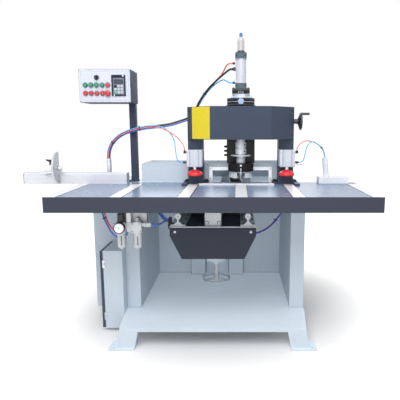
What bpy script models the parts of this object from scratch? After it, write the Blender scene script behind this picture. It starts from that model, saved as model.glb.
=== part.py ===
"""Lock mortising machine for door leaves.

A welded sheet-metal stand carries a work table, a gantry with a vertical router head that an air
cylinder feeds, two air clamps, and under the table a knee that lifts a horizontal mortising
spindle on round rails. X runs along the table, Y from the operator to the back, Z up.
Modelling coordinates are counted from the head's axis (X), the table's front edge (Y) and the
floor (Z); one empty moves the whole machine so that its footprint is centred on the origin.
Lengths are in metres.
"""

import math

import bmesh
import bpy
from mathutils import Matrix, Vector

# Fits shared by all pieces
SEAT = 0.0003
OVERRUN = 0.004
BITE = 0.002
SHAFT_PLAY = 0.0004
WELD = 0.000001
ROUND_SIDES = 20
MIDDLE_SIDES = 14
SMALL_SIDES = 8
SMOOTH_ANGLE = math.radians(35)

# Table
TABLE_WIDTH = 1.600
TABLE_DEPTH = 0.583
TABLE_LEFT = 0.930
TABLE_HEIGHT = 0.850
TABLE_SLAB = 0.012
APRON_HEIGHT = 0.075
APRON_WALL = 0.005
STRIP_WIDTH = 0.058
STRIP_SEAM = 0.0015
STRIP_DEPTH = 0.0025
STRIP_LENGTH_AHEAD = 0.086
STRIP_CENTRES = (-0.590, -0.270, 0.0, 0.270)
STOP_BAR_LEFT = 0.238
STOP_BAR_LENGTH = 0.427
STOP_BAR_DEPTH = 0.018
STOP_BAR_HEIGHT = 0.008
STOP_BAR_AHEAD = 0.125

# Stand
STAND_CENTRE = -0.150
STAND_WIDTH = 1.042
STAND_BACK_BEHIND = 0.557
WALL_THICKNESS = 0.082
WALL_FRONT_AHEAD = 0.116
DECK_HEIGHT = 0.115
DECK_THICKNESS = 0.017
DECK_FRONT = 0.176
DECK_FRONT_WIDTH = 0.994
DECK_TAPER = 0.244
LEG_WIDTH = 0.100
LEG_DEPTH = 0.080
LEG_SPLAY = 0.022
LEG_WALL = 0.005
FOOT_LENGTH = 0.135
FOOT_DEPTH = 0.100
FOOT_PLATE = 0.008
FOOT_TOE = 0.017
ANCHOR_RADIUS = 0.007
ANCHOR_INSET = 0.022
BACK_WALL = 0.018
GUIDE_CENTRE = -0.165
GUIDE_SPACING = 0.273
GUIDE_WIDTH = 0.106
GUIDE_DEPTH = 0.045
GUIDE_TOP_GAP = 0.040
MOTOR_SLOT_SIDE = 0.090
MOTOR_SLOT_BACK_SHARE = 0.98

# Boxes on the stand's left side
HOUSING_WIDTH = 0.229
HOUSING_FRONT_BEHIND = 0.045
HOUSING_BACK_BEHIND = 0.467
HOUSING_BOTTOM = 0.055
CABINET_WIDTH = 0.109
CABINET_FRONT_AHEAD = 0.193
CABINET_BOTTOM = 0.022
CABINET_HEIGHT = 0.460
CABINET_WALL = 0.003
CABINET_GAP = 0.0006
DOOR_THICKNESS = 0.018
DOOR_WALL = 0.003
DOOR_REVEAL = 0.003
HINGE_RADIUS = 0.004
HINGE_LENGTH = 0.014
HINGE_LEAF = 0.010
HINGE_END = 0.075
MOUNTING_PLATE = 0.004
CONTACTOR_SIZE = (0.042, 0.038, 0.060)
CONTACTOR_PITCH = 0.048
CONTACTOR_ROWS = (0.090, 0.220)
CONTACTORS_PER_ROW = 4

# Rear cabinet over the horizontal spindle
REAR_LEFT = 0.586
REAR_RIGHT = 0.300
REAR_FRONT_BEHIND = 0.003
REAR_DEPTH = 0.316
REAR_HEIGHT = 0.103
REAR_WALL = 0.005
LID_THICKNESS = 0.006
LID_RIB_HEIGHT = 0.004
LID_RIB_WIDTH = 0.010
LID_RIBS = 4
WINDOW_WIDTH = 0.330
WINDOW_HEIGHT = 0.071
WINDOW_BAR = 0.020
WINDOW_BAR_DEPTH = 0.009

# Gantry
COLUMN_CENTRE = 0.257
COLUMN_WIDTH = 0.086
COLUMN_FRONT_AHEAD = 0.086
COLUMN_TOP_RISE = 0.430
COLUMN_FOOT_FLANGE = 0.028
COLUMN_FOOT_PLATE = 0.012
COLUMN_FOOT_TOE = 0.095
BOLT_RADIUS = 0.008
BOLT_HEAD = 0.009
BEAM_BOTTOM_RISE = 0.260
BEAM_DEPTH = 0.040
BEAM_RAIL_WIDTH = 0.020
BEAM_RAIL_HEIGHT = 0.0122
BEAM_RAIL_INSET = 0.022
COVER_BOTTOM_RISE = 0.256
COVER_TOP_RISE = 0.434
COVER_FRONT_AHEAD = 0.211
COVER_FLAT_HALF = 0.163
COVER_SHEET = 0.004
COVER_FLANGE = 0.026
CLIP_LENGTH = 0.024
CLIP_WIDTH = 0.066
CLIP_HEIGHT = 0.030
CLIP_X = -0.262
CLIP_RISE = 0.375

# Air clamps
CLAMP_WIDTH = 0.085
CLAMP_DEPTH = 0.080
CLAMP_HEIGHT = 0.093
CLAMP_BOTTOM_RISE = 0.105
CLAMP_PLATE = 0.0067
CLAMP_GROOVE_WIDTH = 0.007
CLAMP_GROOVE_DEPTH = 0.004
CLAMP_GROOVE_SHARES = (-0.28, 0.28)
CLAMP_ROD_RADIUS = 0.010
PAD_RADIUS = 0.044
PAD_HEIGHT = 0.034
PAD_BOTTOM_RISE = 0.054
PAD_EDGE = 0.012
CLAMP_TRAVEL = 0.050
FITTING_RADIUS = 0.0065
FITTING_REACH = 0.016
FITTING_HEIGHT = 0.014
FITTING_TOP_RISE = 0.184
FITTING_LOW_RISE = 0.128

# Router head
HEAD_AHEAD = 0.128
HEAD_TRAVERSE = 0.032
SADDLE_HALF = 0.079
SADDLE_FRONT_AHEAD = 0.071
SADDLE_THICKNESS = 0.0186
SADDLE_BOTTOM_RISE = 0.266
SHELF_THICKNESS = 0.016
RING_RADIUS = 0.076
RING_BOTTOM_RISE = 0.4373
RING_HEIGHT = 0.042
RING_GROOVE = 0.003
CONE_RADIUS = 0.069
CONE_TOP_RADIUS = 0.050
CONE_HEIGHT = 0.020
BLOCK_WIDTH = 0.095
BLOCK_HEIGHT = 0.019
BLOCK_GAP = 0.026
CYLINDER_FLANGE_WIDTH = 0.096
CYLINDER_FLANGE = 0.012
CAP_WIDTH = 0.062
LOWER_CAP_HEIGHT = 0.028
BARREL_RADIUS = 0.028
BARREL_HEIGHT = 0.128
UPPER_CAP_HEIGHT = 0.029
COLLAR_RADIUS = 0.0185
COLLAR_HEIGHT = 0.013
ADJUSTER_RADIUS = 0.0185
ADJUSTER_HEIGHT = 0.072
ADJUSTER_NECK = 0.0085
CAP_PLUG_HEIGHT = 0.021
ROD_RADIUS = 0.010
ROD_TOP_RISE = 0.580
PORT_RADIUS = 0.006
PORT_REACH = 0.010
PORT_RISES = (0.562, 0.664)
SENSOR_AHEAD = 0.110
SENSOR_RISE = 0.636
SENSOR_HALF = 0.009
SENSOR_REACH = 0.012
PLATE_THICKNESS = 0.0217
PLATE_BOTTOM_RISE = 0.120
PLATE_TOP_RISE = 0.336
DRUM_RADIUS = 0.0715
DRUM_BOTTOM_RISE = 0.080
DRUM_HEIGHT = 0.046
KNOB_RADIUS = 0.007
KNOB_REACH = 0.016
KNOB_RISES = (0.166, 0.190, 0.214)
SLEEVE_RADIUS = 0.025
COLLAR_RING_RADIUS = 0.0315
DISC_RADIUS = 0.056
DISC_BOTTOM_RISE = 0.164
DISC_THICKNESS = 0.006
RIB_COUNT = 2
RIB_HEIGHT = 0.029
RIB_GAP = 0.006
SHROUD_TOP_RADIUS = 0.060
SHROUD_RADIUS = 0.069
SHROUD_HEIGHT = 0.033
SHROUD_WALL = 0.003
CHUCK_RADIUS = 0.021
CHUCK_HEIGHT = 0.028
BIT_RADIUS = 0.009
BIT_BOTTOM_RISE = 0.028

# Traverse handwheel
TRAVERSE_RISE = 0.355
TRAVERSE_SCREW_RADIUS = 0.006
TRAVERSE_SCREW_END = -0.125
TRAVERSE_HUB_RADIUS = 0.013
TRAVERSE_HUB_LENGTH = 0.030
TRAVERSE_WHEEL_RADIUS = 0.049
TRAVERSE_RIM = 0.007
TRAVERSE_DISH = 0.012
CRANK_RADIUS = 0.007
CRANK_LENGTH = 0.048

# Operator's box
BOX_LEFT = 0.893
BOX_WIDTH = 0.284
BOX_BOTTOM_RISE = 0.458
BOX_HEIGHT = 0.180
BOX_FRONT_AHEAD = 0.103
BOX_DEPTH = 0.180
POST_SIDE = 0.038
POST_X = -0.631
POST_BEHIND = 0.036
POST_PLATE_SIDE = 0.070
POST_PLATE = 0.006
BUTTON_RADIUS = 0.0105
BUTTON_PLAY = 0.0006
BUTTON_REACH = 0.010
BUTTON_STEM = 0.012
BUTTON_TRAVEL = 0.003
BEZEL_RADIUS = 0.0142
BEZEL_HEIGHT = 0.004
BUTTON_FIRST = 0.035
BUTTON_PITCH = 0.031
BUTTON_COUNT = 5
BUTTON_SIDES = 12
UPPER_ROW = 0.094
LOWER_ROW = 0.0495
SELECTOR_ROW = 0.134
SELECTOR_COLUMN = 0.099
SELECTOR_BAR = 0.006
STOP_RADIUS = 0.0165
STOP_CAP = 0.012
KEYPAD_LEFT = 0.181
KEYPAD_BOTTOM = 0.035
KEYPAD_WIDTH = 0.076
KEYPAD_HEIGHT = 0.113
KEYPAD_DEPTH = 0.006
KEYPAD_FRAME = 0.007
KEYPAD_RECESS = 0.003

# Length stop
FENCE_LEFT = 1.246
FENCE_LENGTH = 0.591
FENCE_FRONT_AHEAD = 0.086
FENCE_DEPTH = 0.072
FENCE_HEIGHT = 0.063
FENCE_SLOT = 0.010
FENCE_SLOT_DEPTH = 0.012
FENCE_CHAMFER = 0.008
STOP_AXIS_X = -1.040
STOP_AXIS_AHEAD = 0.105
STOP_AXIS_RISE = 0.091
STOP_ROD_RADIUS = 0.008
STOP_BARREL_RADIUS = 0.020
STOP_BARREL_LENGTH = 0.072
STOP_SHOE_HEIGHT = 0.007
STOP_SHOE_BACK_AHEAD = 0.027
STOP_BLADE_THICKNESS = 0.010
STOP_BLADE_BACK_AHEAD = 0.089
STOP_BLADE_BULGE = 0.092
STOP_BLADE_BOTTOM_RISE = 0.003
STOP_BLADE_TOP_RISE = 0.186
STOP_BLADE_POINTS = 14
STOP_KNOB_RADIUS = 0.013
STOP_KNOB_GAP = 0.012
WING_X = -1.078
WING_STEM_RADIUS = 0.007
WING_STEM_HEIGHT = 0.030
WING_THREAD_RADIUS = 0.004
WING_THREAD = 0.008
WING_HALF = 0.024
WING_HEIGHT = 0.012
WING_THICKNESS = 0.010

# Hose stand pipes
LEFT_PIPE_X = -0.797
LEFT_PIPE_BEHIND = 0.077
LEFT_PIPE_TOP_RISE = 0.135
LEFT_PIPE_RADIUS = 0.015
PIPE_WALL = 0.0015
PIPE_MOUTH = 0.008
RIGHT_BLOCK_LEFT = 0.449
RIGHT_BLOCK_WIDTH = 0.171
RIGHT_BLOCK_FRONT_AHEAD = 0.086
RIGHT_BLOCK_DEPTH = 0.080
RIGHT_BLOCK_HEIGHT = 0.040
RIGHT_PIPE_X = 0.498
RIGHT_PIPE_AHEAD = 0.048
RIGHT_PIPE_LEAN = 0.012
RIGHT_PIPE_TOP_RISE = 0.148
RIGHT_PIPE_RADIUS = 0.016

# Air preparation unit
AIR_Y = 0.090
FILTER_X = -0.589
LUBRICATOR_X = -0.510
AIR_BODY_BOTTOM_DROP = 0.186
AIR_BODY_TOP_DROP = 0.136
AIR_BODY_HALF = 0.024
BOWL_RADIUS = 0.021
BOWL_BOTTOM_DROP = 0.270
LINK_HALF = 0.010
LINK_TOP_DROP = 0.090
AIR_PORT_RADIUS = 0.012
AIR_SPINE_WIDTH = 0.150
AIR_SPINE_THICKNESS = 0.020
REGULATOR_KNOB_RADIUS = 0.018
REGULATOR_KNOB_HEIGHT = 0.042
GAUGE_RADIUS = 0.027
GAUGE_THICKNESS = 0.020
GAUGE_DROP = 0.158
GAUGE_STEM_RADIUS = 0.006
GAUGE_STEM = 0.006

# Knee under the table
KNEE_X = -0.141
KNEE_FRONT = 0.110
KNEE_TOP_DROP = 0.166
KNEE_WIDTH = 0.430
KNEE_SHOULDER_DROP = 0.212
KNEE_FOOT_DROP = 0.331
KNEE_FOOT_WIDTH = 0.315
KNEE_SHEET = 0.006
KNEE_DECK = 0.020
KNEE_DECK_INSET = 0.006
KNEE_WEB = 0.010
KNEE_WEB_X = 0.120
KNEE_WEB_DEPTH = 0.105
KNEE_BACK = 0.020
KNEE_BACK_BOTTOM_DROP = 0.350
KNEE_SCREW_RADIUS = 0.006
KNEE_SCREW_HEAD = 0.003
KNEE_SCREW_INSET = 0.026
NUT_RADIUS = 0.030
NUT_HEIGHT = 0.085
LIFT_X = -0.148
LIFT_BEHIND = 0.017
LIFT_SCREW_RADIUS = 0.0132
LIFT_SCREW_TOP_DROP = 0.222
LIFT_BOSS_RADIUS = 0.026
LIFT_BOSS_SHARE = 0.319728
LIFT_BOSS_HEIGHT = 0.021
LIFT_ARM_THICKNESS = 0.015
LIFT_ARM_WIDTH = 0.110
LIFT_ARM_REACH = 0.045
LIFT_COLLAR_RADIUS = 0.022
LIFT_COLLAR_HEIGHT = 0.012
LIFT_WHEEL_SHARE = 0.186395
LIFT_WHEEL_RADIUS = 0.081
LIFT_RIM_RADIUS = 0.0052
LIFT_HUB_RADIUS = 0.017
LIFT_HUB_HEIGHT = 0.034
LIFT_SPOKE_RADIUS = 0.005
LIFT_SPOKES = 3
LIFT_HANDLE_RADIUS = 0.008
LIFT_HANDLE_HEIGHT = 0.022
LIFT_RIM_STEPS = 22
RAIL_OFFSET = 0.1745
RAIL_RADIUS = 0.015
RAIL_DROP = 0.116
RAIL_FRONT = 0.124
RAIL_LENGTH_BEHIND = 0.237
RAIL_PAD_WIDTH = 0.074
RAIL_PAD = 0.007
RAIL_FLARE_HALF = 0.020
RAIL_NECK_HALF = 0.004
RAIL_FLARE_HEIGHT = 0.016
CARRIAGE_FRONT_AHEAD = 0.033
CARRIAGE_LENGTH = 0.350
CARRIAGE_HALF = 0.205
CARRIAGE_BOTTOM_DROP = 0.089
CARRIAGE_THICKNESS = 0.015
BEARING_HALF = 0.030
BEARING_LENGTH = 0.060
BEARING_BOTTOM_DROP = 0.134
BEARING_SLOT_HALF = 0.009
BEARING_INSET = 0.020
ROD_LUG_HALF = 0.022
ROD_LUG_THICKNESS = 0.016
FEED_SIDE = 0.082
FEED_BOTTOM_DROP = 0.160
FEED_FRONT = 0.128
FEED_CAP = 0.026
FEED_BARREL_SIDE = 0.076
FEED_LENGTH_AHEAD = 0.263
FEED_BOLT_RADIUS = 0.006
FEED_BOLT_INSET = 0.012
FEED_BOLT_HEAD = 0.004
FEED_ROD_RADIUS = 0.009
FEED_ROD_INSIDE = 0.120
FEED_TRAVEL = 0.100
FEED_FOOT = 0.018
MOTOR_X = -0.030
MOTOR_RISE = 0.045
MOTOR_RADIUS = 0.044
MOTOR_FRONT_BEHIND = 0.132
MOTOR_LENGTH = 0.168
MOTOR_FIN_DEPTH = 0.003
MOTOR_FINS = 3
MOTOR_PLAY = 0.001
NOSE_RADIUS = 0.020
NOSE_LENGTH = 0.025
CRADLE_HALF = 0.034
CRADLE_FRONT_SHARE = 0.15
CRADLE_BACK_SHARE = 0.85
MORTISE_CHUCK_RADIUS = 0.010
MORTISE_CHUCK_LENGTH = 0.030
MORTISE_BIT_RADIUS = 0.007
MORTISE_BIT_LENGTH = 0.056

# Hoses
HOSE_RESOLUTION = 2
HOSE_PITCH_SHARE = 2.0
TIE_LENGTH = 0.008
TIE_MARGIN = 0.002
CABLE_RADIUS = 0.0055
AIR_RADIUS = 0.004
SLIM_RADIUS = 0.003
AIR_OUTLET_LEFT = 0.442
SUPPLY_SEAT_DROP = 0.150
KNEE_BLOCK_LEFT = -0.368
KNEE_BLOCK_Y = 0.171
KNEE_BLOCK_HALF = 0.025
KNEE_BLOCK_DROP = 0.147
WEB_BLOCK_RIGHT = 0.010
WEB_BLOCK_Y = 0.172
WEB_BLOCK_HALF = 0.016
WEB_BLOCK_DROP = 0.218

# Heights from the table's surface, and depths from its back edge
COLUMN_TOP = TABLE_HEIGHT + COLUMN_TOP_RISE
BEAM_BOTTOM = TABLE_HEIGHT + BEAM_BOTTOM_RISE
COVER_BOTTOM = TABLE_HEIGHT + COVER_BOTTOM_RISE
COVER_TOP = TABLE_HEIGHT + COVER_TOP_RISE
CLIP_Z = TABLE_HEIGHT + CLIP_RISE
CLAMP_BOTTOM = TABLE_HEIGHT + CLAMP_BOTTOM_RISE
PAD_BOTTOM = TABLE_HEIGHT + PAD_BOTTOM_RISE
FITTING_TOP_Z = TABLE_HEIGHT + FITTING_TOP_RISE
FITTING_LOW_Z = TABLE_HEIGHT + FITTING_LOW_RISE
SADDLE_BOTTOM = TABLE_HEIGHT + SADDLE_BOTTOM_RISE
RING_BOTTOM = TABLE_HEIGHT + RING_BOTTOM_RISE
ROD_TOP = TABLE_HEIGHT + ROD_TOP_RISE
SENSOR_Z = TABLE_HEIGHT + SENSOR_RISE
PLATE_BOTTOM = TABLE_HEIGHT + PLATE_BOTTOM_RISE
PLATE_TOP = TABLE_HEIGHT + PLATE_TOP_RISE
DRUM_BOTTOM = TABLE_HEIGHT + DRUM_BOTTOM_RISE
DISC_BOTTOM = TABLE_HEIGHT + DISC_BOTTOM_RISE
BIT_BOTTOM = TABLE_HEIGHT + BIT_BOTTOM_RISE
TRAVERSE_Z = TABLE_HEIGHT + TRAVERSE_RISE
BOX_BOTTOM = TABLE_HEIGHT + BOX_BOTTOM_RISE
STOP_AXIS_Z = TABLE_HEIGHT + STOP_AXIS_RISE
STOP_BLADE_BOTTOM = TABLE_HEIGHT + STOP_BLADE_BOTTOM_RISE
STOP_BLADE_TOP = TABLE_HEIGHT + STOP_BLADE_TOP_RISE
LEFT_PIPE_TOP = TABLE_HEIGHT + LEFT_PIPE_TOP_RISE
RIGHT_PIPE_TOP = TABLE_HEIGHT + RIGHT_PIPE_TOP_RISE
AIR_BODY_BOTTOM = TABLE_HEIGHT - AIR_BODY_BOTTOM_DROP
AIR_BODY_TOP = TABLE_HEIGHT - AIR_BODY_TOP_DROP
BOWL_BOTTOM = TABLE_HEIGHT - BOWL_BOTTOM_DROP
LINK_TOP = TABLE_HEIGHT - LINK_TOP_DROP
GAUGE_Z = TABLE_HEIGHT - GAUGE_DROP
KNEE_TOP = TABLE_HEIGHT - KNEE_TOP_DROP
KNEE_SHOULDER = TABLE_HEIGHT - KNEE_SHOULDER_DROP
KNEE_FOOT = TABLE_HEIGHT - KNEE_FOOT_DROP
KNEE_BACK_BOTTOM = TABLE_HEIGHT - KNEE_BACK_BOTTOM_DROP
LIFT_SCREW_TOP = TABLE_HEIGHT - LIFT_SCREW_TOP_DROP
RAIL_Z = TABLE_HEIGHT - RAIL_DROP
CARRIAGE_BOTTOM = TABLE_HEIGHT - CARRIAGE_BOTTOM_DROP
BEARING_BOTTOM = TABLE_HEIGHT - BEARING_BOTTOM_DROP
FEED_BOTTOM = TABLE_HEIGHT - FEED_BOTTOM_DROP
MOTOR_Z = TABLE_HEIGHT + MOTOR_RISE
SUPPLY_SEAT_Z = TABLE_HEIGHT - SUPPLY_SEAT_DROP
KNEE_BLOCK_Z = TABLE_HEIGHT - KNEE_BLOCK_DROP
WEB_BLOCK_Z = TABLE_HEIGHT - WEB_BLOCK_DROP
STOP_BAR_Y = TABLE_DEPTH - STOP_BAR_AHEAD
STAND_BACK = TABLE_DEPTH + STAND_BACK_BEHIND
WALL_FRONT = TABLE_DEPTH - WALL_FRONT_AHEAD
HOUSING_FRONT = TABLE_DEPTH + HOUSING_FRONT_BEHIND
HOUSING_BACK = TABLE_DEPTH + HOUSING_BACK_BEHIND
CABINET_FRONT = TABLE_DEPTH - CABINET_FRONT_AHEAD
REAR_FRONT = TABLE_DEPTH + REAR_FRONT_BEHIND
COLUMN_FRONT = TABLE_DEPTH - COLUMN_FRONT_AHEAD
COVER_FRONT = TABLE_DEPTH - COVER_FRONT_AHEAD
HEAD_Y = TABLE_DEPTH - HEAD_AHEAD
SADDLE_FRONT = TABLE_DEPTH - SADDLE_FRONT_AHEAD
SENSOR_Y = TABLE_DEPTH - SENSOR_AHEAD
BOX_FRONT = TABLE_DEPTH - BOX_FRONT_AHEAD
POST_Y = TABLE_DEPTH + POST_BEHIND
FENCE_FRONT = TABLE_DEPTH - FENCE_FRONT_AHEAD
STOP_AXIS_Y = TABLE_DEPTH - STOP_AXIS_AHEAD
STOP_SHOE_BACK = TABLE_DEPTH - STOP_SHOE_BACK_AHEAD
STOP_BLADE_BACK = TABLE_DEPTH - STOP_BLADE_BACK_AHEAD
LEFT_PIPE_Y = TABLE_DEPTH + LEFT_PIPE_BEHIND
RIGHT_BLOCK_FRONT = TABLE_DEPTH - RIGHT_BLOCK_FRONT_AHEAD
RIGHT_PIPE_Y = TABLE_DEPTH - RIGHT_PIPE_AHEAD
LIFT_Y = TABLE_DEPTH + LIFT_BEHIND
CARRIAGE_FRONT = TABLE_DEPTH - CARRIAGE_FRONT_AHEAD
MOTOR_FRONT = TABLE_DEPTH + MOTOR_FRONT_BEHIND
RAIL_LENGTH = TABLE_DEPTH + RAIL_LENGTH_BEHIND
FEED_LENGTH = TABLE_DEPTH - FEED_LENGTH_AHEAD
STRIP_LENGTH = TABLE_DEPTH - STRIP_LENGTH_AHEAD
PORT_HEIGHTS = tuple(TABLE_HEIGHT + rise for rise in PORT_RISES)
KNOB_HEIGHTS = tuple(TABLE_HEIGHT + rise for rise in KNOB_RISES)
AIR_OUTLET = (-AIR_OUTLET_LEFT, AIR_Y, SUPPLY_SEAT_Z)
LIFT_SPAN = TABLE_HEIGHT - DECK_HEIGHT
LIFT_BOSS_BOTTOM = DECK_HEIGHT + LIFT_BOSS_SHARE * LIFT_SPAN
LIFT_WHEEL_Z = DECK_HEIGHT + LIFT_WHEEL_SHARE * LIFT_SPAN

STAND_LEFT = STAND_CENTRE - STAND_WIDTH / 2
STAND_RIGHT = STAND_CENTRE + STAND_WIDTH / 2
SLAB_BOTTOM = TABLE_HEIGHT - TABLE_SLAB
WALL_TOP = SLAB_BOTTOM - SEAT
REAR_BOTTOM = TABLE_HEIGHT + SEAT
COLUMN_BOTTOM = TABLE_HEIGHT + SEAT
GUIDE_FRONT = STAND_BACK - BACK_WALL - GUIDE_DEPTH
COLUMN_BACK = COLUMN_FRONT + COLUMN_WIDTH
CLAMP_BACK = COLUMN_FRONT - SEAT
CLAMP_Y = CLAMP_BACK - CLAMP_PLATE - CLAMP_DEPTH / 2
SCREW_Y = SADDLE_FRONT + SADDLE_THICKNESS / 2
CYLINDER_BOTTOM = RING_BOTTOM + RING_HEIGHT + CONE_HEIGHT + BLOCK_HEIGHT
BARREL_BOTTOM = CYLINDER_BOTTOM + CYLINDER_FLANGE + LOWER_CAP_HEIGHT
BARREL_TOP = BARREL_BOTTOM + BARREL_HEIGHT
FENCE_TOP = TABLE_HEIGHT + SEAT + FENCE_HEIGHT
LIFT_ARM_TOP = LIFT_BOSS_BOTTOM + LIFT_BOSS_HEIGHT + LIFT_ARM_THICKNESS
ORIGIN_X = (FENCE_LEFT - (TABLE_WIDTH - TABLE_LEFT)) / 2
ORIGIN_Y = -(STAND_BACK + FOOT_TOE) / 2

FITTING_X = COLUMN_CENTRE + CLAMP_WIDTH / 2 - BITE + FITTING_REACH
FITTING_END = FITTING_X + FITTING_RADIUS
FITTING_TOP = FITTING_TOP_Z + FITTING_HEIGHT - FITTING_RADIUS
LEFT_MOUTH = LEFT_PIPE_TOP - PIPE_MOUTH
CLIP_TOP = CLIP_Z + CLIP_HEIGHT / 2
CLIP_SIDE = CLIP_X - CLIP_LENGTH / 2
PORT_END = CAP_WIDTH / 2 + PORT_REACH
SENSOR_END = BARREL_RADIUS + SENSOR_REACH
RIGHT_MOUTH_DROP = PIPE_MOUTH / (RIGHT_PIPE_TOP - TABLE_HEIGHT - RIGHT_BLOCK_HEIGHT)
RIGHT_MOUTH = (
    RIGHT_PIPE_X - RIGHT_PIPE_LEAN * (1 - RIGHT_MOUTH_DROP), RIGHT_PIPE_Y,
    RIGHT_PIPE_TOP - PIPE_MOUTH,
)

# Heights along the routes start from the table's surface.
BENCH = TABLE_HEIGHT


def from_edge(*points):
    """Points given from the table's back edge and its surface."""
    return [(x, TABLE_DEPTH + back, BENCH + up) for x, back, up in points]


def from_front(*points):
    """Points given from the table's front edge and its surface."""
    return [(x, back, BENCH + up) for x, back, up in points]


# A bundle is the centre line that its hoses share. Each hose then has its radius, its offset
# from the centre line (out of the bend, to the back), how much of the line it follows, and the
# rest of its own way.
LEFT_BUNDLE = (
    (-0.797, 0.660, LEFT_MOUTH + SEAT), *from_edge(
        (-0.797, 0.077, 0.136), (-0.797, 0.077, 0.146), (-0.788, 0.072, 0.190),
        (-0.760, 0.055, 0.234), (-0.706, 0.021, 0.274), (-0.643, -0.009, 0.299),
        (-0.584, -0.016, 0.313), (-0.526, -0.010, 0.322), (-0.470, 0.002, 0.328),
        (-0.413, 0.014, 0.337), (-0.356, 0.025, 0.354), (-0.312, 0.031, 0.369),
        (-0.290, 0.032, 0.3745), (-0.282, 0.032, 0.3745),
    ),
    (CLIP_SIDE - SEAT, 0.615, 1.2245),
)
LEFT_HOSES = (
    (CABLE_RADIUS, (0.0050, 0.0050), 16, ()),
    (AIR_RADIUS, (-0.0050, 0.0065), 16, ()),
    (AIR_RADIUS, (-0.0060, -0.0030), 16, ()),
    (SLIM_RADIUS, (0.0010, -0.0085), 9, (
        *from_edge(
            (-0.457, -0.032, 0.316), (-0.405, -0.056, 0.294), (-0.357, -0.086, 0.262),
            (-0.325, -0.117, 0.228),
        ), (-FITTING_X, CLAMP_Y, BENCH + 0.206), (-FITTING_X, CLAMP_Y, BENCH + 0.200),
        (-FITTING_X, CLAMP_Y, FITTING_TOP + SEAT),
    )),
    (SLIM_RADIUS, (0.0085, -0.0045), 9, (
        *from_edge(
            (-0.462, -0.023, 0.326), (-0.412, -0.045, 0.298), (-0.380, -0.073, 0.250),
            (-0.368, -0.103, 0.190), (-0.358, -0.126, 0.148),
        ), (-0.344, CLAMP_Y, BENCH + 0.131),
        (-0.332, CLAMP_Y, FITTING_LOW_Z), (-FITTING_END - SEAT, CLAMP_Y, FITTING_LOW_Z),
    )),
)
LEFT_TIES = (4, 7)

HEAD_BUNDLE = (
    (CLIP_X, 0.612, CLIP_TOP + SEAT), (CLIP_X, 0.612, 1.250), (CLIP_X, 0.612, 1.260),
    *from_edge(
        (-0.254, 0.029, 0.442), (-0.236, 0.025, 0.475), (-0.208, 0.015, 0.514),
        (-0.174, -0.004, 0.551), (-0.140, -0.030, 0.580),
    ),
)
HEAD_HOSES = (
    (CABLE_RADIUS, (0.0, -0.0080), 8, (
        *from_edge(
            (-0.106, -0.062, 0.606), (-0.079, -0.090, 0.624),
        ), (-0.061, SENSOR_Y, BENCH + 0.634),
        (-0.050, SENSOR_Y, SENSOR_Z), (-SENSOR_END - SEAT, SENSOR_Y, SENSOR_Z),
    )),
    (AIR_RADIUS, (0.0030, 0.0030), 8, (
        *from_edge(
            (-0.107, -0.058, 0.614), (-0.088, -0.091, 0.642), (-0.074, -0.119, 0.659),
        ),
        (-0.056, HEAD_Y, BENCH + 0.664), (-PORT_END - SEAT, HEAD_Y, PORT_HEIGHTS[1]),
    )),
    (AIR_RADIUS, (-0.0060, 0.0040), 7, (
        *from_edge(
            (-0.140, -0.034, 0.566), (-0.112, -0.060, 0.580), (-0.094, -0.088, 0.582),
            (-0.080, -0.113, 0.572),
        ), (-0.058, HEAD_Y, BENCH + 0.562),
        (-PORT_END - SEAT, HEAD_Y, PORT_HEIGHTS[0]),
    )),
)
HEAD_TIES = (5,)

RIGHT_BUNDLE = (
    (RIGHT_MOUTH[0], RIGHT_MOUTH[1], RIGHT_MOUTH[2] + SEAT), *from_edge(
        (0.4859, -0.048, 0.149), (0.4848, -0.048, 0.159), (0.480, -0.050, 0.180),
        (0.464, -0.058, 0.206), (0.437, -0.071, 0.228), (0.402, -0.086, 0.242),
    ),
)
RIGHT_HOSES = (
    (SLIM_RADIUS, (0.0, 0.0040), 7, (
        *from_edge(
            (0.364, -0.105, 0.246), (0.334, -0.123, 0.233),
        ), (FITTING_X, CLAMP_Y, BENCH + 0.208),
        (FITTING_X, CLAMP_Y, BENCH + 0.200), (FITTING_X, CLAMP_Y, FITTING_TOP + SEAT),
    )),
    (SLIM_RADIUS, (0.0, -0.0050), 7, (
        *from_edge(
            (0.376, -0.106, 0.220), (0.362, -0.121, 0.180), (0.354, -0.130, 0.148),
        ),
        (0.344, CLAMP_Y, BENCH + 0.133), (0.332, CLAMP_Y, FITTING_LOW_Z),
        (FITTING_END + SEAT, CLAMP_Y, FITTING_LOW_Z),
    )),
)
RIGHT_TIES = (4,)

SUPPLY_BUNDLE = (
    (-0.705, 0.175, SLAB_BOTTOM - SEAT), *from_front(
        (-0.705, 0.175, -0.021), (-0.705, 0.175, -0.030), (-0.698, 0.166, -0.075),
        (-0.680, 0.146, -0.125), (-0.656, 0.130, -0.166),
    ),
)
SUPPLY_HOSES = (
    (AIR_RADIUS, (0.0, 0.0), 6, (
        *from_front(
            (-0.634, 0.124, -0.188), (-0.612, 0.122, -0.198), (-0.594, 0.122, -0.186),
            (-0.588, 0.122, -0.166), (-0.588, 0.122, -0.158),
        ), (-0.588, 0.122, SUPPLY_SEAT_Z - SEAT),
    )),
    (AIR_RADIUS, (-0.0100, 0.0), 6, (
        *from_front(
            (-0.651, 0.123, -0.192), (-0.632, 0.122, -0.214), (-0.600, 0.122, -0.224),
            (-0.573, 0.122, -0.208), (-0.566, 0.122, -0.180), (-0.566, 0.122, -0.160),
        ),
        (-0.566, 0.122, SUPPLY_SEAT_Z - SEAT),
    )),
)
SUPPLY_TIES = (4,)

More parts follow.
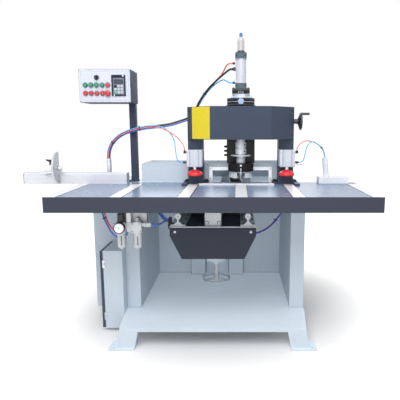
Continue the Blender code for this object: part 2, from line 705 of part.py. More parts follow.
KNEE_LEFT_BUNDLE = (
    (-0.452, 0.222, SLAB_BOTTOM - SEAT), *from_front(
        (-0.452, 0.222, -0.021), (-0.452, 0.222, -0.030), (-0.446, 0.219, -0.066),
        (-0.428, 0.209, -0.102), (-0.404, 0.195, -0.129), (-0.388, 0.186, -0.142),
    ), (-0.378, 0.183, KNEE_BLOCK_Z),
    (KNEE_BLOCK_LEFT - SEAT, 0.183, KNEE_BLOCK_Z),
)
KNEE_LEFT_HOSES = (
    (AIR_RADIUS, (0.0045, 0.0), 9, ()),
    (AIR_RADIUS, (-0.0045, 0.0), 9, ()),
    (AIR_RADIUS, (0.0, 0.0), 0, (
        (AIR_OUTLET[0] + SEAT, *AIR_OUTLET[1:]), *from_front(
            (-0.433, 0.090, -0.150), (-0.416, 0.094, -0.151), (-0.403, 0.111, -0.151),
            (-0.396, 0.134, -0.150), (-0.390, 0.156, -0.148),
        ), (-0.383, 0.169, KNEE_BLOCK_Z),
        (-0.376, 0.172, KNEE_BLOCK_Z), (KNEE_BLOCK_LEFT - SEAT, 0.172, KNEE_BLOCK_Z),
    )),
)
KNEE_LEFT_TIES = (7,)

KNEE_RIGHT_BUNDLE = (
    (0.246, 0.262, SLAB_BOTTOM - SEAT), *from_front(
        (0.246, 0.262, -0.021), (0.246, 0.262, -0.030), (0.240, 0.258, -0.064),
        (0.216, 0.245, -0.112), (0.180, 0.224, -0.156), (0.140, 0.200, -0.189),
        (0.098, 0.182, -0.208), (0.060, 0.174, -0.216),
    ),
    (0.028, WEB_BLOCK_Y, WEB_BLOCK_Z), (0.020, WEB_BLOCK_Y, WEB_BLOCK_Z),
    (WEB_BLOCK_RIGHT + SEAT, WEB_BLOCK_Y, WEB_BLOCK_Z),
)
KNEE_RIGHT_HOSES = (
    (AIR_RADIUS, (0.0, 0.0050), 12, ()),
    (AIR_RADIUS, (0.0, -0.0050), 12, ()),
)
KNEE_RIGHT_TIES = (5,)


def new_collection(name, hidden):
    group = bpy.data.collections.new(name)
    group.hide_render = hidden
    bpy.context.scene.collection.children.link(group)
    return group


def clear_scene():
    for item in list(bpy.data.objects):
        bpy.data.objects.remove(item, do_unlink=True)


clear_scene()
MACHINE = new_collection("lock_mortising_machine", False)
CUTTERS = new_collection("cutters", True)
ORIGIN = bpy.data.objects.new("machine_origin", None)
ORIGIN.location = (ORIGIN_X, ORIGIN_Y, 0)
MACHINE.objects.link(ORIGIN)


def paint(name, colour, roughness, metallic=0.0):
    """A plain Principled material."""
    surface = bpy.data.materials.new(name)
    surface.use_nodes = True
    shader = surface.node_tree.nodes["Principled BSDF"]
    shader.inputs["Base Color"].default_value = (*colour, 1)
    shader.inputs["Roughness"].default_value = roughness
    shader.inputs["Metallic"].default_value = metallic
    surface.diffuse_color = (*colour, 1)
    return surface


STAND_PAINT = paint("stand_paint", (0.57, 0.67, 0.74), 0.45)
FRAME_PAINT = paint("frame_paint", (0.055, 0.075, 0.110), 0.42)
TABLE_STEEL = paint("table_steel", (0.36, 0.44, 0.54), 0.35, 0.4)
ALUMINIUM = paint("aluminium", (0.75, 0.77, 0.80), 0.38, 0.9)
STEEL = paint("bright_steel", (0.62, 0.63, 0.64), 0.25, 1.0)
BLACK_METAL = paint("black_metal", (0.015, 0.016, 0.018), 0.38, 0.3)
BLACK_PLASTIC = paint("black_plastic", (0.02, 0.02, 0.022), 0.45)
RED_PLASTIC = paint("red_plastic", (0.62, 0.02, 0.02), 0.35)
GREEN_PLASTIC = paint("green_plastic", (0.02, 0.28, 0.13), 0.35)
WHITE_PLASTIC = paint("white_plastic", (0.80, 0.82, 0.85), 0.4)
CLEAR_PLASTIC = paint("clear_plastic", (0.70, 0.75, 0.78), 0.2)
HOSE_RUBBER = paint("hose_rubber", (0.05, 0.07, 0.20), 0.4)


def place(item, surface=None):
    """Puts an object in the machine, under the shared origin."""
    MACHINE.objects.link(item)
    item.parent = ORIGIN
    if surface:
        item.data.materials.clear()
        item.data.materials.append(surface)
    return item


def helper(item):
    """Marks an object as a shape that a Boolean uses."""
    MACHINE.objects.unlink(item)
    CUTTERS.objects.link(item)
    item.hide_render = True
    item.display_type = "WIRE"
    return item


def add_box(mesh, low, high):
    """Adds a box between two corners."""
    size = Vector(high) - Vector(low)
    middle = (Vector(high) + Vector(low)) / 2
    matrix = Matrix.Translation(middle) @ Matrix.Diagonal((*size, 1))
    bmesh.ops.create_cube(mesh, size=1, matrix=matrix)


def add_rod(mesh, base, direction, radius, length, sides=ROUND_SIDES, end_radius=None):
    """Adds a cylinder, or a cone frustum, from base along direction."""
    along = Vector(direction).normalized()
    turn = Vector((0, 0, 1)).rotation_difference(along).to_matrix().to_4x4()
    matrix = Matrix.Translation(Vector(base) + along * length / 2) @ turn
    bmesh.ops.create_cone(
        mesh, cap_ends=True, segments=sides, radius1=radius,
        radius2=radius if end_radius is None else end_radius, depth=length, matrix=matrix,
    )


def finished(name, mesh, surface=None):
    """Turns a bmesh into a placed object."""
    data = bpy.data.meshes.new(name)
    mesh.to_mesh(data)
    mesh.free()
    return place(bpy.data.objects.new(name, data), surface)


def box(name, low, high, surface=None, bevel=0.0):
    mesh = bmesh.new()
    add_box(mesh, low, high)
    item = finished(name, mesh, surface)
    if bevel:
        rounded(item, bevel)
    return item


def rounded(item, width, segments=1):
    edges = item.modifiers.new("rounded edges", "BEVEL")
    edges.width = width
    edges.segments = segments
    edges.limit_method = "ANGLE"
    return item


def rod(name, base, direction, radius, length, surface=None, sides=ROUND_SIDES, end_radius=None):
    mesh = bmesh.new()
    add_rod(mesh, base, direction, radius, length, sides, end_radius)
    return finished(name, mesh, surface)


def boxes(name, corners, surface=None):
    """One object that holds several separate boxes, for use as a cutter."""
    mesh = bmesh.new()
    for low, high in corners:
        add_box(mesh, low, high)
    return finished(name, mesh, surface)


def rods(name, entries, sides=ROUND_SIDES):
    """One object that holds several separate cylinders, for use as a cutter."""
    mesh = bmesh.new()
    for base, direction, radius, length in entries:
        add_rod(mesh, base, direction, radius, length, sides)
    return finished(name, mesh)


def turned(name, base, direction, profile, surface=None, steps=ROUND_SIDES):
    """A profile of (radius, height) from top to bottom, turned about a line through base."""
    data = bpy.data.meshes.new(name)
    points = [(radius, 0, height) for radius, height in profile]
    closed = min(radius for radius, _ in profile) > 0
    links = [(i, i + 1) for i in range(len(points) - 1)]
    if closed:
        links.append((len(points) - 1, 0))
    data.from_pydata(points, links, [])
    item = place(bpy.data.objects.new(name, data), surface)
    item.location = base
    item.rotation_mode = "QUATERNION"
    item.rotation_quaternion = Vector((0, 0, 1)).rotation_difference(Vector(direction))
    screw = item.modifiers.new("turned", "SCREW")
    screw.axis = "Z"
    screw.steps = steps
    screw.render_steps = steps
    screw.use_merge_vertices = True
    screw.merge_threshold = 0.00001
    return item


def baked(item):
    """Replaces a curve object by its mesh, with the caps welded."""
    bpy.context.view_layer.update()
    shape = item.evaluated_get(bpy.context.evaluated_depsgraph_get())
    data = bpy.data.meshes.new_from_object(shape)
    name = item.name
    mesh = bmesh.new()
    mesh.from_mesh(data)
    mesh.transform(item.matrix_local)
    bmesh.ops.remove_doubles(mesh, verts=mesh.verts, dist=WELD)
    bmesh.ops.recalc_face_normals(mesh, faces=mesh.faces)
    mesh.to_mesh(data)
    mesh.free()
    bpy.data.objects.remove(item, do_unlink=True)
    return place(bpy.data.objects.new(name, data))


PLANE_TURNS = {
    "XY": Matrix.Identity(4),
    "XZ": Matrix(((1, 0, 0, 0), (0, 0, 1, 0), (0, 1, 0, 0), (0, 0, 0, 1))),
    "YZ": Matrix(((0, 0, 1, 0), (1, 0, 0, 0), (0, 1, 0, 0), (0, 0, 0, 1))),
}


def plate(name, plane, outline, start, end, surface=None):
    """A flat outline in a plane, thick from start to end across it."""
    curve = bpy.data.curves.new(name, "CURVE")
    curve.dimensions = "2D"
    curve.fill_mode = "BOTH"
    curve.extrude = (end - start) / 2
    spline = curve.splines.new("POLY")
    spline.points.add(len(outline) - 1)
    for point, (across, up) in zip(spline.points, outline):
        point.co = (across, up, 0, 1)
    spline.use_cyclic_u = True
    item = place(bpy.data.objects.new(name, curve))
    middle = (start + end) / 2
    item.matrix_local = PLANE_TURNS[plane] @ Matrix.Translation((0, 0, middle))
    item = baked(item)
    if surface:
        item.data.materials.clear()
        item.data.materials.append(surface)
    return item


def smooth_route(points, step):
    """Points spaced about evenly along a Catmull-Rom curve through the given ones."""
    knots = [Vector(point) for point in points]
    knots = [2 * knots[0] - knots[1]] + knots + [2 * knots[-1] - knots[-2]]
    route = []
    for a, b, c, d in zip(knots, knots[1:], knots[2:], knots[3:]):
        pieces = max(1, round((c - b).length / step))
        for i in range(pieces):
            t = i / pieces
            even = 2 * b + (c - a) * t + (2 * a - 5 * b + 4 * c - d) * t * t
            route.append((even + (3 * b - a - 3 * c + d) * t * t * t) / 2)
    route.append(knots[-2])
    return route


def beside(line, outward, backward):
    """The route that keeps a steady offset from a bundle's centre line."""
    points = [Vector(point) for point in line]
    route = []
    for before, spot, after in zip(points[:1] + points, points, points[1:] + points[-1:]):
        ahead = (after - before).normalized()
        out = ahead.cross(Vector((0, 1, 0))).normalized()
        route.append(spot + out * outward + out.cross(ahead) * backward)
    return route


def hose(name, radius, route):
    """A round tube along a smooth route."""
    curve = bpy.data.curves.new(name, "CURVE")
    curve.dimensions = "3D"
    curve.bevel_depth = radius
    curve.bevel_resolution = HOSE_RESOLUTION
    curve.use_fill_caps = True
    points = smooth_route(route, math.tau * radius * HOSE_PITCH_SHARE)
    spline = curve.splines.new("POLY")
    spline.points.add(len(points) - 1)
    for point, spot in zip(spline.points, points):
        point.co = (*spot, 1)
    return place(bpy.data.objects.new(name, curve))


def tie(name, spots, ends):
    """A short band round hoses that pass through the given spots."""
    centre = sum((spot for _, spot in spots), Vector()) / len(spots)
    along = (sum(ends, Vector()) / len(ends) - centre).normalized()
    reach = max(
        (spot - centre - along * (spot - centre).dot(along)).length + radius
        for radius, spot in spots
    )
    base = centre - along * TIE_LENGTH / 2
    return rod(name, base, along, reach + TIE_MARGIN, TIE_LENGTH, sides=SMALL_SIDES)


def hose_bundle(name, line, members, ties):
    """Hoses that run together along a line, held by bands, and then part."""
    routes = [
        (radius, beside(line, *offset)[:count] + [Vector(point) for point in rest])
        for radius, offset, count, rest in members
    ]
    tubes = [baked(hose(f"{name}_{i}", *entry)) for i, entry in enumerate(routes)]
    bands = [
        tie(
            f"{name}_tie_{i}", [(radius, route[i]) for radius, route in routes],
            [route[i + 1] for _, route in routes],
        )
        for i in ties
    ]
    body = bands[0]
    body.name = name
    body.data.materials.append(HOSE_RUBBER)
    return join(body, tubes + bands[1:])


def join(body, pieces):
    for piece in pieces:
        fuse = body.modifiers.new(f"with {piece.name}", "BOOLEAN")
        fuse.operation = "UNION"
        fuse.solver = "EXACT"
        fuse.object = helper(piece)
    return body


def cut(body, pieces):
    for piece in pieces:
        trim = body.modifiers.new(f"less {piece.name}", "BOOLEAN")
        trim.operation = "DIFFERENCE"
        trim.solver = "EXACT"
        trim.object = helper(piece)
    return body


def hinged_at(item, point):
    """Moves an unrotated mesh object's origin to a point of its joint axis."""
    item.data.transform(Matrix.Translation(-Vector(point)))
    item.location = point
    return item


def arc(centre, radius, start_share, end_share, count):
    """Points on a circle, from one share of a full turn to another."""
    angles = [
        math.tau * (start_share + (end_share - start_share) * i / (count - 1)) for i in range(count)
    ]
    return [(centre[0] + radius * math.cos(a), centre[1] + radius * math.sin(a)) for a in angles]


def table_top():
    right = TABLE_WIDTH - TABLE_LEFT
    bottom = TABLE_HEIGHT - APRON_HEIGHT
    table = box(
        "table_top", (-TABLE_LEFT, 0, bottom), (right, TABLE_DEPTH, TABLE_HEIGHT), TABLE_STEEL
    )
    inside = box(
        "table_inside",
        (-TABLE_LEFT + APRON_WALL, APRON_WALL, bottom - OVERRUN),
        (right - APRON_WALL, TABLE_DEPTH + OVERRUN, SLAB_BOTTOM),
    )
    half = STRIP_WIDTH / 2
    left_end = -TABLE_LEFT + half
    right_end = right - half
    centres = (left_end, *STRIP_CENTRES, right_end)
    floor = TABLE_HEIGHT - STRIP_DEPTH
    grooves = boxes("strip_grooves", [
        (
            (x - half - STRIP_SEAM, -OVERRUN, floor),
            (x + half + STRIP_SEAM, STRIP_LENGTH + STRIP_SEAM, TABLE_HEIGHT + OVERRUN),
        )
        for x in centres
    ])
    strips = boxes("strips", [
        ((x - half, 0, floor - BITE), (x + half, STRIP_LENGTH, TABLE_HEIGHT)) for x in centres
    ])
    bar = box(
        "stop_bar",
        (-STOP_BAR_LEFT, STOP_BAR_Y, TABLE_HEIGHT - BITE),
        (-STOP_BAR_LEFT + STOP_BAR_LENGTH, STOP_BAR_Y + STOP_BAR_DEPTH,
         TABLE_HEIGHT + STOP_BAR_HEIGHT),
    )
    cut(table, [inside, grooves])
    join(table, [strips, bar])


def base_frame():
    """The deck with four splayed legs and their foot plates."""
    front_half = DECK_FRONT_WIDTH / 2
    deck = plate("base_frame", "XY", (
        (STAND_CENTRE - front_half, DECK_FRONT),
        (STAND_CENTRE + front_half, DECK_FRONT),
        (STAND_RIGHT, DECK_FRONT + DECK_TAPER),
        (STAND_RIGHT, STAND_BACK),
        (STAND_LEFT, STAND_BACK),
        (STAND_LEFT, DECK_FRONT + DECK_TAPER),
    ), DECK_HEIGHT - DECK_THICKNESS, DECK_HEIGHT, STAND_PAINT)
    ends = (
        (front_half, DECK_FRONT, 1),
        (STAND_WIDTH / 2, STAND_BACK, -1),
    )
    for half, y, inward in ends:
        for side in (-1, 1):
            outer = STAND_CENTRE + side * half
            low_outer = outer + side * LEG_SPLAY
            leg = plate(f"leg_{side}_{inward}", "XZ", (
                (outer, DECK_HEIGHT - BITE),
                (low_outer, 0),
                (low_outer - side * LEG_WIDTH, 0),
                (outer - side * LEG_WIDTH, DECK_HEIGHT - BITE),
            ), *sorted((y, y + inward * LEG_DEPTH)))
            inner = y + inward * LEG_WALL
            pocket = plate(f"pocket_{side}_{inward}", "XZ", (
                (outer - side * LEG_WALL, DECK_HEIGHT - DECK_THICKNESS),
                (low_outer - side * LEG_WALL, FOOT_PLATE),
                (low_outer - side * (LEG_WIDTH - LEG_WALL), FOOT_PLATE),
                (outer - side * (LEG_WIDTH - LEG_WALL), DECK_HEIGHT - DECK_THICKNESS),
            ), *sorted((inner, y + inward * (LEG_DEPTH + OVERRUN))))
            cut(leg, [pocket])
            foot_outer = low_outer + side * (FOOT_LENGTH - LEG_WIDTH)
            toe = y - inward * FOOT_TOE
            span_x = sorted((foot_outer, foot_outer - side * FOOT_LENGTH))
            span_y = sorted((toe, toe + inward * FOOT_DEPTH))
            foot = box(
                f"foot_{side}_{inward}",
                (span_x[0], span_y[0], 0), (span_x[1], span_y[1], FOOT_PLATE),
            )
            anchor = rod(
                f"anchor_{side}_{inward}",
                (foot_outer - side * ANCHOR_INSET, toe + inward * ANCHOR_INSET, -OVERRUN),
                (0, 0, 1), ANCHOR_RADIUS, FOOT_PLATE + OVERRUN * 2, sides=SMALL_SIDES,
            )
            join(deck, [leg, foot])
            cut(deck, [anchor])


def side_walls():
    spans = {
        "left_side_wall": (STAND_LEFT, STAND_LEFT + WALL_THICKNESS),
        "right_side_wall": (STAND_RIGHT - WALL_THICKNESS, STAND_RIGHT),
    }
    for name, (low, high) in spans.items():
        box(
            name, (low, WALL_FRONT, DECK_HEIGHT + SEAT), (high, STAND_BACK, WALL_TOP),
            STAND_PAINT, BITE,
        )


def rear_wall():
    """Back panel with the knee's guide columns, the lifting screw's arm and the rear deck."""
    low_x = STAND_LEFT + WALL_THICKNESS + SEAT
    high_x = STAND_RIGHT - WALL_THICKNESS - SEAT
    front = STAND_BACK - BACK_WALL
    bottom = DECK_HEIGHT + SEAT
    wall = box(
        "rear_wall", (low_x, front, bottom), (high_x, STAND_BACK, SLAB_BOTTOM + BITE), STAND_PAINT
    )
    guides = [
        box(
            f"guide_{side}",
            (GUIDE_CENTRE + side * GUIDE_SPACING / 2 - GUIDE_WIDTH / 2, GUIDE_FRONT, bottom),
            (GUIDE_CENTRE + side * GUIDE_SPACING / 2 + GUIDE_WIDTH / 2, front + BITE,
             SLAB_BOTTOM - GUIDE_TOP_GAP),
        )
        for side in (-1, 1)
    ]
    arm = box(
        "lift_arm",
        (LIFT_X - LIFT_ARM_WIDTH / 2, LIFT_Y - LIFT_ARM_REACH, LIFT_ARM_TOP - LIFT_ARM_THICKNESS),
        (LIFT_X + LIFT_ARM_WIDTH / 2, front + BITE, LIFT_ARM_TOP),
    )
    boss = rod(
        "lift_boss", (LIFT_X, LIFT_Y, LIFT_BOSS_BOTTOM), (0, 0, 1), LIFT_BOSS_RADIUS,
        LIFT_BOSS_HEIGHT + BITE,
    )
    bore = rod(
        "lift_bore", (LIFT_X, LIFT_Y, LIFT_BOSS_BOTTOM - OVERRUN), (0, 0, 1),
        LIFT_SCREW_RADIUS + SHAFT_PLAY, LIFT_ARM_TOP - LIFT_BOSS_BOTTOM + OVERRUN * 2,
    )
    deck = box(
        "rear_deck",
        (STAND_LEFT, TABLE_DEPTH + SEAT, SLAB_BOTTOM), (STAND_RIGHT, STAND_BACK, TABLE_HEIGHT),
    )
    slot = box(
        "motor_slot",
        (MOTOR_X - MOTOR_SLOT_SIDE, REAR_FRONT + REAR_WALL, SLAB_BOTTOM - OVERRUN),
        (MOTOR_X + MOTOR_SLOT_SIDE, REAR_FRONT + REAR_DEPTH * MOTOR_SLOT_BACK_SHARE,
         TABLE_HEIGHT + OVERRUN),
    )
    cut(deck, [slot])
    join(wall, guides + [arm, boss, deck])
    cut(wall, [bore])


def left_rear_housing():
    right = STAND_LEFT - SEAT
    box(
        "left_rear_housing",
        (right - HOUSING_WIDTH, HOUSING_FRONT, HOUSING_BOTTOM),
        (right, HOUSING_BACK, SLAB_BOTTOM), STAND_PAINT, BITE,
    )


def electrical_cabinet():
    """A box open to the left, with contactors on its plate and two hinge knuckle pairs."""
    right = STAND_LEFT - SEAT
    left = right - CABINET_WIDTH
    back = HOUSING_FRONT - CABINET_GAP
    top = CABINET_BOTTOM + CABINET_HEIGHT
    cabinet = box(
        "electrical_cabinet", (left, CABINET_FRONT, CABINET_BOTTOM), (right, back, top),
        STAND_PAINT,
    )
    inside = box(
        "cabinet_inside",
        (left - OVERRUN, CABINET_FRONT + CABINET_WALL, CABINET_BOTTOM + CABINET_WALL),
        (right - CABINET_WALL, back - CABINET_WALL, top - CABINET_WALL),
    )
    cut(cabinet, [inside])
    plate_front = right - CABINET_WALL - MOUNTING_PLATE
    margin = HINGE_END / 2
    panel = box(
        "mounting_plate",
        (plate_front, CABINET_FRONT + margin / 2, CABINET_BOTTOM + margin),
        (right - CABINET_WALL + BITE / 2, back - margin / 2, top - margin),
    )
    depth, width, height = CONTACTOR_SIZE
    first = (CABINET_FRONT + back - CONTACTOR_PITCH * (CONTACTORS_PER_ROW - 1)) / 2
    contactors = boxes("contactors", [
        (
            (plate_front - depth, first + CONTACTOR_PITCH * i - width / 2, CABINET_BOTTOM + row),
            (plate_front + BITE, first + CONTACTOR_PITCH * i + width / 2,
             CABINET_BOTTOM + row + height),
        )
        for row in CONTACTOR_ROWS
        for i in range(CONTACTORS_PER_ROW)
    ])
    pin_y = CABINET_FRONT - HINGE_RADIUS - SEAT * 2
    knuckles = rods("cabinet_knuckles", [
        ((left, pin_y, z + turn * (HINGE_LENGTH + SEAT) - HINGE_LENGTH / 2), (0, 0, 1),
         HINGE_RADIUS, HINGE_LENGTH)
        for z in (CABINET_BOTTOM + HINGE_END, top - HINGE_END)
        for turn in (-1, 1)
    ], SMALL_SIDES)
    leaves = boxes("cabinet_leaves", [
        (
            (left + SEAT, pin_y - BITE / 2, z + turn * (HINGE_LENGTH + SEAT) - HINGE_LENGTH / 2),
            (left + HINGE_LEAF, CABINET_FRONT + CABINET_WALL / 2,
             z + turn * (HINGE_LENGTH + SEAT) + HINGE_LENGTH / 2),
        )
        for z in (CABINET_BOTTOM + HINGE_END, top - HINGE_END)
        for turn in (-1, 1)
    ])
    join(cabinet, [panel, contactors, knuckles, leaves])

    outer = left - SEAT - DOOR_THICKNESS
    door_front = CABINET_FRONT + DOOR_REVEAL
    door = box(
        "cabinet_door",
        (outer, door_front, CABINET_BOTTOM + DOOR_REVEAL),
        (left - SEAT, back - DOOR_REVEAL, top - DOOR_REVEAL), FRAME_PAINT,
    )
    pan = box(
        "door_pan",
        (outer + DOOR_WALL, door_front + DOOR_WALL, CABINET_BOTTOM + DOOR_REVEAL + DOOR_WALL),
        (left + OVERRUN, back - DOOR_REVEAL - DOOR_WALL, top - DOOR_REVEAL - DOOR_WALL),
    )
    cut(door, [pan])
    for i, z in enumerate((CABINET_BOTTOM + HINGE_END, top - HINGE_END)):
        knuckle = rod(
            f"door_knuckle_{i}", (left, pin_y, z - HINGE_LENGTH / 2 + SEAT), (0, 0, 1),
            HINGE_RADIUS, HINGE_LENGTH - SEAT * 2, sides=SMALL_SIDES,
        )
        leaf = box(
            f"door_leaf_{i}",
            (left - HINGE_RADIUS, pin_y, z - HINGE_LENGTH / 2 + SEAT),
            (left - SEAT, door_front + DOOR_WALL, z + HINGE_LENGTH / 2 - SEAT),
        )
        join(door, [leaf, knuckle])
    hinged_at(door, (left, pin_y, CABINET_BOTTOM + CABINET_HEIGHT / 2))


def rear_cabinet():
    back = REAR_FRONT + REAR_DEPTH
    top = REAR_BOTTOM + REAR_HEIGHT
    cabinet = box(
        "rear_cabinet", (-REAR_LEFT, REAR_FRONT, REAR_BOTTOM), (REAR_RIGHT, back, top), STAND_PAINT
    )
    inside = box(
        "rear_cabinet_inside",
        (-REAR_LEFT + REAR_WALL, REAR_FRONT + REAR_WALL, REAR_BOTTOM - OVERRUN),
        (REAR_RIGHT - REAR_WALL, back - REAR_WALL, top + OVERRUN),
    )
    window = box(
        "window",
        (-WINDOW_WIDTH / 2, REAR_FRONT - OVERRUN, REAR_BOTTOM - OVERRUN),
        (WINDOW_WIDTH / 2, REAR_FRONT + REAR_WALL + OVERRUN, REAR_BOTTOM + WINDOW_HEIGHT),
    )
    cut(cabinet, [inside, window])

    low = top + SEAT
    lid = box(
        "rear_cabinet_lid", (-REAR_LEFT, REAR_FRONT, low),
        (REAR_RIGHT, back, low + LID_THICKNESS - LID_RIB_HEIGHT / 2), FRAME_PAINT,
    )
    pitch = REAR_DEPTH / (LID_RIBS + 1)
    ribs = boxes("lid_ribs", [
        (
            (-REAR_LEFT + LID_RIB_WIDTH, REAR_FRONT + pitch * (i + 1) - LID_RIB_WIDTH / 2,
             low + LID_THICKNESS / 2),
            (REAR_RIGHT - LID_RIB_WIDTH, REAR_FRONT + pitch * (i + 1) + LID_RIB_WIDTH / 2,
             low + LID_THICKNESS),
        )
        for i in range(LID_RIBS)
    ])
    join(lid, [ribs])

    front = REAR_FRONT - SEAT - WINDOW_BAR_DEPTH
    outer = WINDOW_WIDTH / 2 + WINDOW_BAR
    frame = box(
        "window_frame", (-outer, front, REAR_BOTTOM),
        (outer, REAR_FRONT - SEAT, REAR_BOTTOM + WINDOW_HEIGHT + WINDOW_BAR), ALUMINIUM,
    )
    opening = box(
        "window_opening",
        (-WINDOW_WIDTH / 2, front - OVERRUN, REAR_BOTTOM - OVERRUN),
        (WINDOW_WIDTH / 2, REAR_FRONT + OVERRUN, REAR_BOTTOM + WINDOW_HEIGHT),
    )
    cut(frame, [opening])


def gantry_frame():
    """Two square columns with bolted feet, joined by a beam that carries two rails."""
    inner = COLUMN_CENTRE - COLUMN_WIDTH / 2
    beam_front = COLUMN_BACK - BEAM_DEPTH
    beam = box(
        "gantry_frame", (-inner - BITE, beam_front, BEAM_BOTTOM),
        (inner + BITE, COLUMN_BACK, COLUMN_TOP), FRAME_PAINT,
    )
    rails = boxes("beam_rails", [
        (
            (-inner - BITE, beam_front - BEAM_RAIL_HEIGHT, z - BEAM_RAIL_WIDTH / 2),
            (inner + BITE, beam_front + BITE, z + BEAM_RAIL_WIDTH / 2),
        )
        for z in (BEAM_BOTTOM + BEAM_RAIL_INSET, COLUMN_TOP - BEAM_RAIL_INSET)
    ])
    join(beam, [rails])
    for side in (-1, 1):
        centre = side * COLUMN_CENTRE
        half = COLUMN_WIDTH / 2
        column = box(
            f"column_{side}", (centre - half, COLUMN_FRONT, COLUMN_BOTTOM),
            (centre + half, COLUMN_BACK, COLUMN_TOP + BITE / 2),
        )
        reach = half + COLUMN_FOOT_FLANGE
        flange_top = COLUMN_BOTTOM + COLUMN_FOOT_PLATE
        flange = box(
            f"column_flange_{side}", (centre - reach, COLUMN_FRONT, COLUMN_BOTTOM),
            (centre + reach, COLUMN_BACK, flange_top),
        )
        toe_low, toe_high = sorted((centre + side * (half + BITE), centre + side * reach))
        toe = box(
            f"column_toe_{side}", (toe_low, COLUMN_FRONT - COLUMN_FOOT_TOE, COLUMN_BOTTOM),
            (toe_high, COLUMN_FRONT + BITE, flange_top),
        )
        bolts = rods(f"column_bolts_{side}", [
            ((centre + way * (half + COLUMN_FOOT_FLANGE / 2),
              COLUMN_FRONT + COLUMN_WIDTH * (0.5 + turn * 0.25), flange_top - BITE),
             (0, 0, 1), BOLT_RADIUS, BOLT_HEAD + BITE)
            for way in (-1, 1)
            for turn in (-1, 1)
        ], SMALL_SIDES)
        join(beam, [column, flange, toe, bolts])
    clip = box(
        "hose_clip",
        (CLIP_X - CLIP_LENGTH / 2, COLUMN_BACK - BITE, CLIP_Z - CLIP_HEIGHT / 2),
        (CLIP_X + CLIP_LENGTH / 2, COLUMN_BACK + CLIP_WIDTH, CLIP_Z + CLIP_HEIGHT / 2),
    )
    screw_hole = rod(
        "screw_hole", (inner - OVERRUN, SCREW_Y, TRAVERSE_Z), (1, 0, 0),
        TRAVERSE_SCREW_RADIUS + SHAFT_PLAY, COLUMN_WIDTH + OVERRUN * 2,
    )
    join(beam, [clip])
    cut(beam, [screw_hole])


def beam_cover():
    """A folded sheet in front of the beam, with flanges on the columns."""
    outer_x = COLUMN_CENTRE + COLUMN_WIDTH / 2
    back = COLUMN_FRONT - SEAT
    slant = math.atan2(back - COVER_FRONT, outer_x - COVER_FLAT_HALF)
    shift = COVER_SHEET * math.tan(slant / 2)
    inner_drop = COVER_SHEET / math.sin(slant)
    half = [
        (COVER_FLAT_HALF, COVER_FRONT),
        (outer_x, back),
        (outer_x - COVER_FLANGE, back),
        (outer_x - COVER_FLANGE, back - COVER_SHEET),
        (outer_x - inner_drop - COVER_SHEET / math.tan(slant), back - COVER_SHEET),
        (COVER_FLAT_HALF - shift, COVER_FRONT + COVER_SHEET),
    ]
    outline = half + [(-x, y) for x, y in reversed(half)]
    plate("beam_cover", "XY", outline, COVER_BOTTOM, COVER_TOP, FRAME_PAINT)


def clamps():
    """Compact air cylinders on the columns, each with a rod that ends in a domed pad."""
    for name, side in (("left", -1), ("right", 1)):
        x = side * COLUMN_CENTRE
        half = CLAMP_WIDTH / 2
        front = CLAMP_Y - CLAMP_DEPTH / 2
        top = CLAMP_BOTTOM + CLAMP_HEIGHT
        cylinder = box(
            f"{name}_clamp_cylinder", (x - half, front, CLAMP_BOTTOM),
            (x + half, front + CLAMP_DEPTH, top), ALUMINIUM, BITE,
        )
        backing = box(
            f"{name}_clamp_backing",
            (x - half + OVERRUN, front + CLAMP_DEPTH - BITE, CLAMP_BOTTOM + OVERRUN),
            (x + half - OVERRUN, CLAMP_BACK, top - OVERRUN),
        )
        grooves = boxes(f"{name}_clamp_grooves", [
            (
                (x + CLAMP_WIDTH * share - CLAMP_GROOVE_WIDTH / 2, front - OVERRUN,
                 CLAMP_BOTTOM - OVERRUN),
                (x + CLAMP_WIDTH * share + CLAMP_GROOVE_WIDTH / 2, front + CLAMP_GROOVE_DEPTH,
                 top + OVERRUN),
            )
            for share in CLAMP_GROOVE_SHARES
        ])
        bore = rod(
            f"{name}_clamp_bore", (x, CLAMP_Y, CLAMP_BOTTOM - OVERRUN), (0, 0, 1),
            CLAMP_ROD_RADIUS + SHAFT_PLAY, CLAMP_HEIGHT,
        )
        cut(cylinder, [grooves, bore])
        join(cylinder, [backing])
        outer = x + side * (half - BITE)
        elbows = rods(f"{name}_elbows", [
            ((outer, CLAMP_Y, z), (side, 0, 0), FITTING_RADIUS, FITTING_REACH + FITTING_RADIUS)
            for z in (FITTING_TOP_Z, FITTING_LOW_Z)
        ], SMALL_SIDES)
        spout = rod(
            f"{name}_spout", (side * FITTING_X, CLAMP_Y, FITTING_TOP_Z - FITTING_RADIUS / 2),
            (0, 0, 1), FITTING_RADIUS - BITE / 4, FITTING_TOP - FITTING_TOP_Z + FITTING_RADIUS / 2,
            sides=SMALL_SIDES,
        )
        join(cylinder, [elbows, spout])
        turned(f"{name}_clamp_pad", (x, CLAMP_Y, PAD_BOTTOM), (0, 0, 1), (
            (0, CLAMP_BOTTOM - PAD_BOTTOM + CLAMP_TRAVEL + OVERRUN),
            (CLAMP_ROD_RADIUS, CLAMP_BOTTOM - PAD_BOTTOM + CLAMP_TRAVEL + OVERRUN),
            (CLAMP_ROD_RADIUS, PAD_HEIGHT),
            (PAD_RADIUS / 2, PAD_HEIGHT - BITE),
            (PAD_RADIUS - BITE, PAD_EDGE + BITE * 2),
            (PAD_RADIUS, PAD_EDGE),
            (PAD_RADIUS, BITE * 2),
            (PAD_RADIUS - BITE * 2, 0),
            (0, 0),
        ), RED_PLASTIC)


